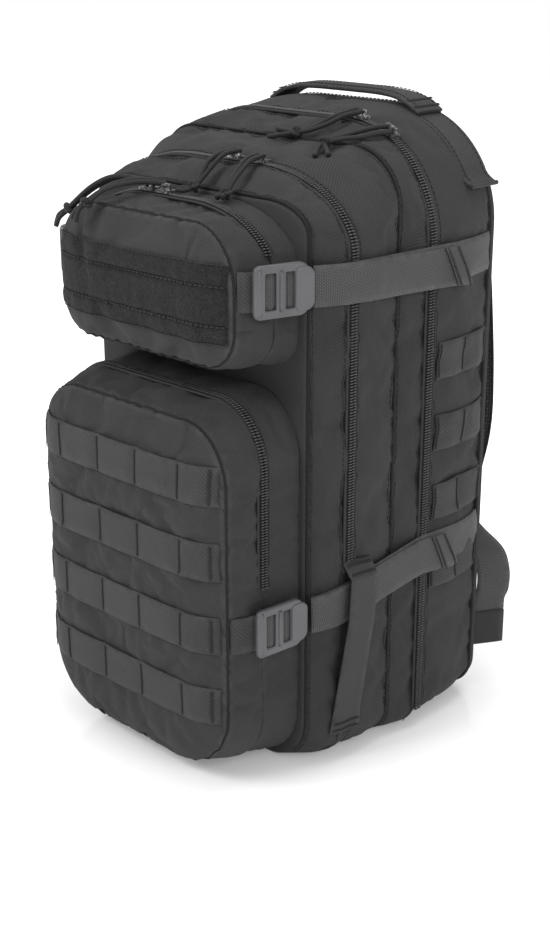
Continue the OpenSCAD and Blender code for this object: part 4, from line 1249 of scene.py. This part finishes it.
def yoke():
    """The reinforcing band over the top, its welt, folded ends and stitches."""
    cx, cz, r = 41.6, 348.5, 73.9
    arch = [(cx + r * math.cos(math.radians(a)), cz + r * math.sin(math.radians(a)))
            for a in np.linspace(28, 90, 18)]
    right = [(arch[0][0] + 8.6, arch[0][1] - 5.5), (arch[0][0] + 4, arch[0][1] - 3.2)] + arch
    xz = right + [(-x, z) for x, z in right[::-1]]
    xz = smooth_path([(x, z, 0) for x, z in xz], 90)
    path = np.stack([xz[:, 0], np.full(90, YOKE_Y), xz[:, 1]], 1)
    G = band(path, (0, 0, -1), 27, 9, across=(0, 1, 0))
    if normals_of(G)[:, 45, 2].mean() < 0:
        G = G[::-1]
    N = normals_of(G)
    G = G + N * 0.6
    made = [ribbon("yoke_band", G, 2, "webbing")]
    welt = path[4:-4].copy()
    welt[:, 1] = YOKE_Y - 15.2
    W = band(welt, (0, 0, -1), 8.5, 5, across=(0, 1, 0))
    if normals_of(W)[:, 40, 2].mean() < 0:
        W = W[::-1]
    made.append(ribbon("yoke_welt", W + normals_of(W) * 0.2, 1.3, "shell"))
    for end in (0, -1):
        hem = G[:, end] + N[:, end] * -0.9
        made.append(tube(f"yoke_hem_{end}", hem, 1.5, CLOTHS["webbing"], 10))
    wear(join("yoke", made), "rear_section", "webbing", "handle_yoke")
    stitches = [along_of(G, lane) for lane in (1, 7)] + [along_of(W, 1)]
    wear(repeat("yoke_stitches", stitches, STITCH, 3.6, CLOTHS["thread"]), "rear_section")
    return G


yoke()


def handle():
    """A strap folded narrow in the middle, sewn flat at both ends."""
    half, z0, rise = 68.6, 419.9, 13.0
    side = [(half, 0), (half * 0.86, rise * 0.45), (half * 0.66, rise * 0.8), (half * 0.38, rise * 0.96)]
    pts = [(x, z0 + z, 0) for x, z in side] + [(0, z0 + rise, 0)] + [(-x, z0 + z, 0) for x, z in side[::-1]]
    xz = smooth_path(pts, 61)
    path = np.stack([xz[:, 0], np.full(61, YOKE_Y), xz[:, 1] + 0.2], 1)
    G = band(path, (0, 0, -1), 25, 9, across=(0, 1, 0))
    if normals_of(G)[:, 30, 2].mean() < 0:
        G = G[::-1]
    fold = np.clip(1.25 - np.abs(path[:, 0]) / 46, 0, 1) ** 0.8
    lane = np.linspace(-1, 1, 9)[:, None]
    G[..., 1] = YOKE_Y + (G[..., 1] - YOKE_Y) * (1 - 0.26 * fold)[None]
    G[..., 2] -= 2.6 * fold[None] * lane ** 2
    G = G + normals_of(G) * 1.0
    ob = ribbon("carry_handle_strap", G, 2.6, "webbing")
    N = normals_of(G)
    rows = repeat("handle_stitches", [along_of(G, k) for k in (1, 7)], STITCH, 3.4, CLOTHS["thread"])
    tack = repeat("handle_tacks", [(G[:, i] + N[:, i] * 0.05, N[:, i]) for i in (2, 5, 55, 58)], TACK,
                  1.0, CLOTHS["thread"])
    ob = join("carry_handle_strap", [ob, rows, tack])
    wear(ob, "carry_handle", "webbing", "carry_handle")


handle()


def slab(name, low, high, cloth, radius=1.2, puff=0.0, seed=51, cuts=8, material=None):
    """A soft-edged block between two corners in mm, its faces a little puffed."""
    low, high = np.array(low, float), np.array(high, float)
    bm = bmesh.new()
    bmesh.ops.create_cube(bm, size=1)
    bmesh.ops.subdivide_edges(bm, edges=bm.edges, cuts=cuts, use_grid_fill=True)
    centre, size = (low + high) / 2, high - low
    thin = int(np.argmin(size))
    for v in bm.verts:
        c = np.array(v.co)
        p = centre + c * size
        others = [k for k in range(3) if k != thin]
        edge = max(abs(c[k]) * 2 for k in others)
        inset = min(radius, size[thin] * 0.5) * edge ** 8
        p[thin] -= np.sign(c[thin]) * inset * 0.8
        wave = puff * (0.6 + 0.4 * noise.noise(Vector(p / 34 + seed))) * (1 - edge ** 3)
        p[thin] += np.sign(c[thin]) * (wave - puff)
        v.co = p / 1000
    bmesh.ops.recalc_face_normals(bm, faces=bm.faces)
    layer = bm.loops.layers.uv.new("cloth")
    for f in bm.faces:
        k = [i for i in range(3) if i != int(np.argmax(np.abs(np.array(f.normal))))]
        for l in f.loops:
            l[layer].uv = (l.vert.co[k[0]], l.vert.co[k[1]])
    mesh = bpy.data.meshes.new(name)
    bm.to_mesh(mesh)
    bm.free()
    ob = link(name, mesh, material or CLOTHS[cloth])
    m = ob.modifiers.new("soft", "BEVEL")
    m.width, m.segments, m.limit_method = min(radius, size[thin] * 0.3) / 1000, 2, "ANGLE"
    return ob


def of_node(node, grow=0.0):
    """A CAD node's corners in mm."""
    a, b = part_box(node)
    return np.array(a) * 1000 - grow, np.array(b) * 1000 + grow


def inner_pieces():
    """Walls and pockets that show when the panels open, and the base."""
    for node, body, cloth, puff in (("base_panel", "rear_section", "base", 0.0),
                                    ("hydration_sleeve", "rear_section", "lining", 1.0),
                                    ("divider_organizer", "main_panel", "lining", 1.2),
                                    ("front_organizer", "mid_panel", "lining", 1.2)):
        low, high = of_node(node)
        ob = slab(node + "_cloth", low, high, cloth, 1.0, puff, cuts=12)
        edge = [(x, (low[1] + high[1]) / 2, high[2] - 0.9) for x in np.linspace(low[0] + 1, high[0] - 1,
                30)]
        parts = [ob] if node == "base_panel" else [ob, tube(node + "_edge", edge, 1.4, CLOTHS["tape"], 8)]
        wear(join(node + "_cloth", parts), body, cloth, node)


inner_pieces()


def cushion(name, x, z, w, h, r, body):
    """A back pad: a padded cushion of spacer mesh."""
    o = (w / 2, z, z + h, r, r, r)
    y = BACK + 0.3
    stations = [(0.6, 0), (0, 3.4), (1.2, 6.5), (4.5, 9.2), (9.0, 10.8), (15, 11.7), (22, 12.0), (29, 11.8)]
    P = np.array([ring(o, y + d, -k) for k, d in stations]) + [x, 0, 0]
    P[..., 1] += fbm(P, 20, 61) * np.clip(np.array([k for k, _ in stations]) / 10, 0, 1)[:, None] * 0.4
    ob = grid(name, P, CLOTHS["mesh"], True)
    close_ends(ob, 0.5)
    for p in ob.data.polygons:
        p.use_smooth = len(p.vertices) < 9
    return wear(ob, body, "mesh")


pads = [cushion("right_back_pad", 52.3, 150, 78, 200, 20, "rear_section"),
        cushion("left_back_pad", -52.3, 150, 78, 200, 20, "rear_section"),
        cushion("lumbar_pad", 0, 33.6, 160, 78, 24, "rear_section")]
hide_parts("back_pads")


def shoulder_strap(s):
    """A padded shoulder strap with edging, a strip of webbing and its tacks."""
    side = "right" if s > 0 else "left"
    x = 42.07 * (1 + np.array([-0.1, 0, 0.1, 0.19, 0.285, 0.405, 0.545, 0.62])) * s
    y = BACK + 34 * np.array([0.22, 0.55, 0.85, 1, 1.02, 0.97, 0.85, 0.7])
    z = 393.96 - 420 * np.array([0, 0.038, 0.105, 0.2, 0.3, 0.4, 0.495, 0.562])
    w = 62 * np.array([0.8, 0.95, 1, 1, 1, 0.98, 0.9, 0.66])
    path = smooth_path(np.stack([x, y, z], 1), 46)
    width = smooth_path(np.stack([w, w * 0, np.linspace(0, 240, 8)], 1), 46)[:, 0]
    t = np.gradient(path, axis=0)
    t /= np.linalg.norm(t, axis=1, keepdims=True)
    across = np.array([1.0, 0, 0]) - t * t[:, :1]
    across /= np.linalg.norm(across, axis=1, keepdims=True)
    out = np.cross(across, t)
    out *= np.sign(out[:, 1])[:, None]
    angle = np.linspace(0, 2 * math.pi, 40, endpoint=False)
    P = []
    for i in range(46):
        c, n = np.cos(angle), np.sin(angle)
        u = np.sign(c) * np.abs(c) ** 0.55 * (width[i] / 2 - 0.4)
        v = np.sign(n) * np.abs(n) ** 0.8 * 5.8
        P.append(path[i] + u[:, None] * across[i] + v[:, None] * out[i])
    P = np.array(P)
    P += normals_of(P, True) * (fbm(P, 26, 71) * 0.35 - 0.1)[..., None]
    ob = grid(f"{side}_shoulder_pad", P, CLOTHS["shell"], True)
    close_ends(ob)
    ob.data.materials.append(CLOTHS["mesh"])
    for p in ob.data.polygons:
        p.use_smooth = len(p.vertices) < 9
        if p.normal.y < -0.4:
            p.material_index = 1
    wear(ob, "rear_section", "shell", f"{side}_shoulder_strap")
    edges = [tube(f"{side}_strap_edge_{k}", path + across * (k * (width / 2 - 0.2))[:, None], 1.3,
                  CLOTHS["binding_and_seam_shade"], 8) for k in (1, -1)]
    wear(join(f"{side}_strap_edges", edges), "rear_section", "binding_and_seam_shade")
    line_ = path[6:43] + out[6:43] * 5.7
    G = np.array([line_ + across[6:43] * k for k in np.linspace(-12.5, 12.5, 5)])
    if (normals_of(G) * out[6:43][None]).sum() < 0:
        G = G[::-1]
    strip = ribbon(f"{side}_strap_webbing", G + normals_of(G) * 0.7, 1.3, "webbing")
    rows = [rows_of(G + normals_of(G) * 0.75, i) for i in (2, 10, 18, 26, 34)]
    tack = repeat(f"{side}_strap_tacks", rows, TACK, 0.85, CLOTHS["thread"])
    wear(join(f"{side}_strap_webbing", [strip, tack]), "rear_section", "webbing")


shoulder_strap(1)
shoulder_strap(-1)


def harness_ends():
    """Adjusters, lower webbing, load lifters, rolled ends and the wings in the rear seam."""
    webs, plastics, wings = [], [], []
    for s in (1, -1):
        m = np.array([s, 1, 1])
        lower = smooth_path(np.array([(68.2, 142.3, 146), (68.2, 142.3, 131.7), (69.2, 141.8, 122.7),
                                      (80.2, 141.3, 113.7), (107, 132.5, 106), (113, 132.5, 92),
                                      (113.6, 131.5, 77), (111.2, 130.5, 69), (111, 130.5, 60.8)]) * m, 60)
        across = np.array([0.507 * s, 0.862, 0])
        G = np.array([lower + across * k for k in np.linspace(-12.5, 12.5, 7)])
        if normals_of(G)[3, 40:, 0].mean() * s < 0:
            G = G[::-1]
        webs.append(ribbon(f"lower_web_{s}", G + normals_of(G) * 0.9, 1.8, "strap"))
        lifter = smooth_path(np.array([(33, 119.2, 404), (33, 131.5, 403), (33, 146.5, 391),
                                       (34, 156.2, 374), (36, 159.0, 352), (38, 159.6, 334)]) * m, 40)
        L = np.array([lifter + np.array([1.0, 0, 0]) * k for k in np.linspace(-10, 10, 5)])
        if normals_of(L)[2, 20:, 1].mean() < 0:
            L = L[::-1]
        webs.append(ribbon(f"lifter_{s}", L + normals_of(L) * 0.7, 1.4, "strap"))
        axis = Vector((math.cos(math.radians(20)) * s, 0, -math.sin(math.radians(20))))
        a = Vector((47.07 * s, 123.6, 410.5))
        u = Vector((0, 1, 0))
        w = axis.cross(u)
        turns = np.linspace(0, 2 * math.pi * 3.1, 70)
        spiral = np.array([tuple(a + (u * math.cos(k) + w * math.sin(k)) * (0.7 + 3.5 * k / turns[-1]))
                           for k in turns])
        R = np.array([spiral + np.array(axis) * k for k in np.linspace(0.3, 25.6, 5)])
        if ((normals_of(R)[2] * (spiral - np.array(a))).sum()) < 0:
            R = R[::-1]
        webs.append(ribbon(f"roll_{s}", R, 1.0, "strap"))
        ladder = plate(f"adjuster_{s}", softened([(-17, -15), (17, -15), (17, 7), (-17, 7)], 3),
                       [softened([(-13.3, z - 2), (13.3, z - 2), (13.3, z + 2), (-13.3, z + 2)], 1)
                        for z in (-9.5, -0.5)], 4.6, 1.2, PLASTIC)
        plastics.append(moved(ladder, Matrix.Translation((0.0682 * s, 0.1423, 0.148))
                              @ Matrix.Rotation(math.pi / 2, 4, "X")))
        middle = np.array([111.05 * s, 130.5, 0])
        path = np.array([middle + [0, 0, z] for z in np.linspace(34.2, 60, 8)])
        wing = np.array([path + across * k for k in np.linspace(-13.4, 12.6, 7)])
        if normals_of(wing)[3, :, 0].mean() * s < 0:
            wing = wing[::-1]
        wings.append(ribbon(f"wing_{s}", wing + normals_of(wing) * 1.4, 2.8, "shell"))
    wear(join("harness_webbing", webs), "rear_section", "strap", "strap_webbing")
    ob = wear(join("harness_adjusters", plastics), "rear_section", None, "strap_adjusters")
    wear(join("harness_wings", wings), "rear_section", "shell", "strap_wings")


harness_ends()


def sternum():
    """The strap across the chest, its buckle and clips."""
    y, z = 159.8, 289.8
    x = np.linspace(-71.8, 71.8, 50)
    G = band(np.stack([x, np.full(50, y + 0.8), np.full(50, z)], 1), (0, -1, 0), 19.6, 7)
    web = ribbon("sternum_web", G, 1.5, "strap")
    buckle = moved(plate("sternum_buckle", softened([(-22, -10), (-14, -13), (14, -13), (22, -10),
                                                     (22, 10), (14, 13), (-14, 13), (-22, 10)], 2.5),
                         [softened([(-11, -7), (-4, -7), (-4, 7), (-11, 7)], 1.5)], 6.8, 1.6, PLASTIC),
                   Matrix.Translation((0, (y + 1.5) / 1000, z / 1000))
                   @ Matrix.Rotation(math.pi / 2, 4, "X"))
    clips = [moved(plate(f"sternum_clip_{s}", softened([(-7, -12), (7, -12), (7, 12), (-7, 12)], 2), [],
                         3, 1, PLASTIC),
                   Matrix.Translation((31.07 * s / 1000, (y + 3.1) / 1000, z / 1000))
                   @ Matrix.Rotation(math.pi / 2, 4, "X")) for s in (1, -1)]
    ob = wear(join("sternum_strap_piece", [web, buckle, *clips]), "sternum_strap", None, "sternum_strap")


sternum()


# ---- zip pulls --------------------------------------------------------------------------------------

CORD = 3.2
ROUTES = {
    "main_pull_a": [[[50, 42, 424], [45, 36, 422], [38, 30, 418], [31, 23, 413], [22, 18, 410],
                     [12, 18, 410], [2, 20, 410]],
                    [[54, 41, 423], [49, 33, 421], [42, 25, 416], [33, 19, 412], [24, 16, 410],
                     [14, 11, 408], [5, 8, 406]]],
    "main_pull_b": [[[76, 42, 416], [75, 34, 416], [70, 25, 414], [63, 16, 411], [56, 8, 408],
                     [58, -1, 404], [62, -8, 401]],
                    [[80, 41, 413], [79, 32, 413], [74, 22, 411], [66, 13, 410], [58, 6, 407],
                     [64, 1, 404], [70, -4, 402]]],
    "mid_pull_a": [[[6, -25, 401], [6, -36, 400], [6, -46, 396], [7, -54, 388], [8, -60, 382],
                    [3, -61, 381], [-3, -61, 380]],
                   [[11, -25, 401], [11, -37, 400], [10, -46, 394], [9, -54, 387], [8, -61, 382],
                    [5, -66, 380], [0, -68, 380]]],
    "mid_pull_b": [[[28, -25, 400], [30, -36, 399], [32, -46, 393], [34, -54, 387], [36, -60, 381],
                    [38, -64, 380], [41, -67, 380]],
                   [[33, -25, 400], [34, -37, 398], [35, -47, 392], [36, -55, 386], [37, -60, 381],
                    [35, -65, 380], [36, -67, 379]]],
    "upper_pull_a": [[[-29, -72, 383], [-38, -77, 385], [-48, -83, 384], [-60, -89, 377], [-74, -97, 363],
                      [-81, -99, 358], [-86, -98, 351]],
                     [[-29, -68, 383], [-39, -73, 384], [-49, -78, 383], [-62, -86, 375], [-75, -95, 362],
                      [-78, -101, 357], [-80, -103, 351]]],
    "upper_pull_b": [[[-14, -72, 383], [-20, -80, 384], [-27, -89, 383], [-35, -99, 379],
                      [-42, -107, 371], [-47, -111, 367], [-51, -112, 361]],
                     [[-14, -68, 383], [-22, -77, 385], [-30, -86, 384], [-38, -96, 379],
                      [-43, -106, 372], [-44, -112, 367], [-45, -114, 360]]],
    "lower_pull_a": [[[-97, -84, 194], [-100, -86, 187], [-101, -87, 178], [-100, -88, 169],
                      [-99, -88, 161], [-99, -91, 154], [-100, -93, 147]],
                     [[-97, -80, 194], [-100, -82, 187], [-101, -84, 178], [-100, -86, 169],
                      [-99, -88, 161], [-99, -86, 154], [-100, -85, 148]]],
    "lower_pull_b": [[[-97, -84, 176], [-99, -81, 169], [-101, -78, 161], [-104, -76, 153],
                      [-105, -75, 145], [-106, -78, 139], [-107, -80, 133]],
                     [[-97, -80, 176], [-99, -78, 169], [-102, -75, 161], [-105, -74, 153],
                      [-106, -75, 145], [-107, -72, 139], [-108, -71, 133]]],
}


def knot(name, centre, along):
    """An overhand knot, as a tight trefoil of the same cord."""
    k = np.linspace(0, 2 * math.pi, 60, endpoint=False)
    shape = np.stack([np.sin(k) + 2 * np.sin(2 * k), np.cos(k) - 2 * np.cos(2 * k), -1.3 * np.sin(3 * k)],
                     1) * [1.0, 1.0, 1.15]
    turn = Vector((0, 0, 1)).rotation_difference(Vector(along)).to_matrix()
    path = np.array([tuple(turn @ Vector(p)) for p in shape]) + centre
    return tube(name, path, 1.45, CLOTHS["cord"], 10, closed=True, twist=0.5)


def pull(name, strands):
    """Two strands of cord from a slider's eye to one knot, with frayed tails."""
    paths = [smooth_path(s, 60) for s in strands]
    centre = (np.array(strands[0][4]) + np.array(strands[1][4])) / 2
    along = (np.array(strands[0][4]) - np.array(strands[0][3]))
    tied = knot(name + "_knot", centre, along / np.linalg.norm(along))
    wear(tied, name, "cord")
    back = paths[0][0] - paths[0][4]
    a, b = paths[0][0], paths[1][0]
    bow = back / np.linalg.norm(back) * 1.6
    eye = tube(name + "_turn", smooth_path([a - bow * 0.1, a + bow, (a + b) / 2 + bow * 1.7, b + bow,
                                            b - bow * 0.1], 18), CORD / 2, CLOTHS["cord"], 10, twist=0.5)
    wear(eye, name, "cord")
    for k, path in enumerate(paths):
        radii = np.full(len(path), CORD / 2)
        radii[-4:] = CORD / 2 * np.array([1.0, 1.06, 1.1, 0.95])
        ob = tube(f"{name}_cord_{k + 1}", path, CORD / 2, CLOTHS["cord"], 12, radii=radii, twist=0.5)
        if k == 0:
            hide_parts(name)
        wear(ob, name, "cord")


for name, strands in ROUTES.items():
    pull(name, strands)


# ---- carried solids ---------------------------------------------------------------------------------

def finish_solids():
    """Finishes for the CAD solids that stay: sliders and the frame sheet."""
    for name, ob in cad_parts.items():
        if ob.hide_render:
            continue
        ob.data.materials.clear()
        if "slider" in name:
            ob.data.materials.append(METAL)
            m = ob.modifiers.new("soft", "BEVEL")
            m.width, m.segments, m.limit_method = 0.0005, 2, "ANGLE"
        else:
            ob.data.materials.append(SHEETING)


finish_solids()
for piece in (STITCH, TACK, TOOTH):
    bpy.data.objects.remove(piece)


# ---- floor and light --------------------------------------------------------------------------------

def stage_and_light():
    bpy.ops.mesh.primitive_plane_add(size=8, location=(0, 0, -0.0002))
    floor = bpy.context.object
    floor.name = "floor"
    r = Recipe("pale_floor")
    r.shader.inputs["Base Color"].default_value = (0.9, 0.9, 0.9, 1)
    r.shader.inputs["Roughness"].default_value = 0.12
    # a glow that grows away from the bag hides the floor's far edge and keeps the shadow near the bag
    x, y = [r.math("MAXIMUM", r.math("SUBTRACT", r.math("ABSOLUTE", c), 0.11), 0.0)
            for c in r.node("ShaderNodeSeparateXYZ",
                            {"Vector": r.node("ShaderNodeNewGeometry").outputs["Position"]}).outputs[:2]]
    away = r.math("SQRT", r.math("ADD", r.math("MULTIPLY", x, x), r.math("MULTIPLY", y, y)))
    r.shader.inputs["Emission Color"].default_value = (1, 1, 1, 1)
    r.put(r.shader.inputs["Emission Strength"], r.spread(away, 0.0, 0.5, 0.12, 0.6))
    r.put(r.shader.inputs["Specular IOR Level"], r.spread(away, 0.0, 0.12, 0.9, 0.0))
    floor.data.materials.append(r.material)
    world = bpy.data.worlds.new("studio")
    world.use_nodes = True
    scene.world = world
    tree = world.node_tree
    back = tree.nodes["Background"]
    path = tree.nodes.new("ShaderNodeLightPath")
    level = tree.nodes.new("ShaderNodeMapRange")
    level.inputs[3].default_value, level.inputs[4].default_value = 0.75, 1.0
    tree.links.new(path.outputs["Is Camera Ray"], level.inputs[0])
    tree.links.new(level.outputs[0], back.inputs["Strength"])
    back.inputs["Color"].default_value = (1, 1, 1, 1)
    for name, place, size, power in (("key", (-0.5, -1.5, 1.5), 0.9, 26),
                                     ("side", (1.6, -0.3, 1.0), 0.9, 12),
                                     ("top", (0.1, 0.3, 1.9), 1.0, 12)):
        data = bpy.data.lights.new(name, "AREA")
        data.size, data.energy = size, power
        lamp = bpy.data.objects.new(name, data)
        scene.collection.objects.link(lamp)
        lamp.location = place
        lamp.rotation_euler = (Vector((0, 0, 0.2)) - Vector(place)).to_track_quat("-Z", "Y").to_euler()


stage_and_light()
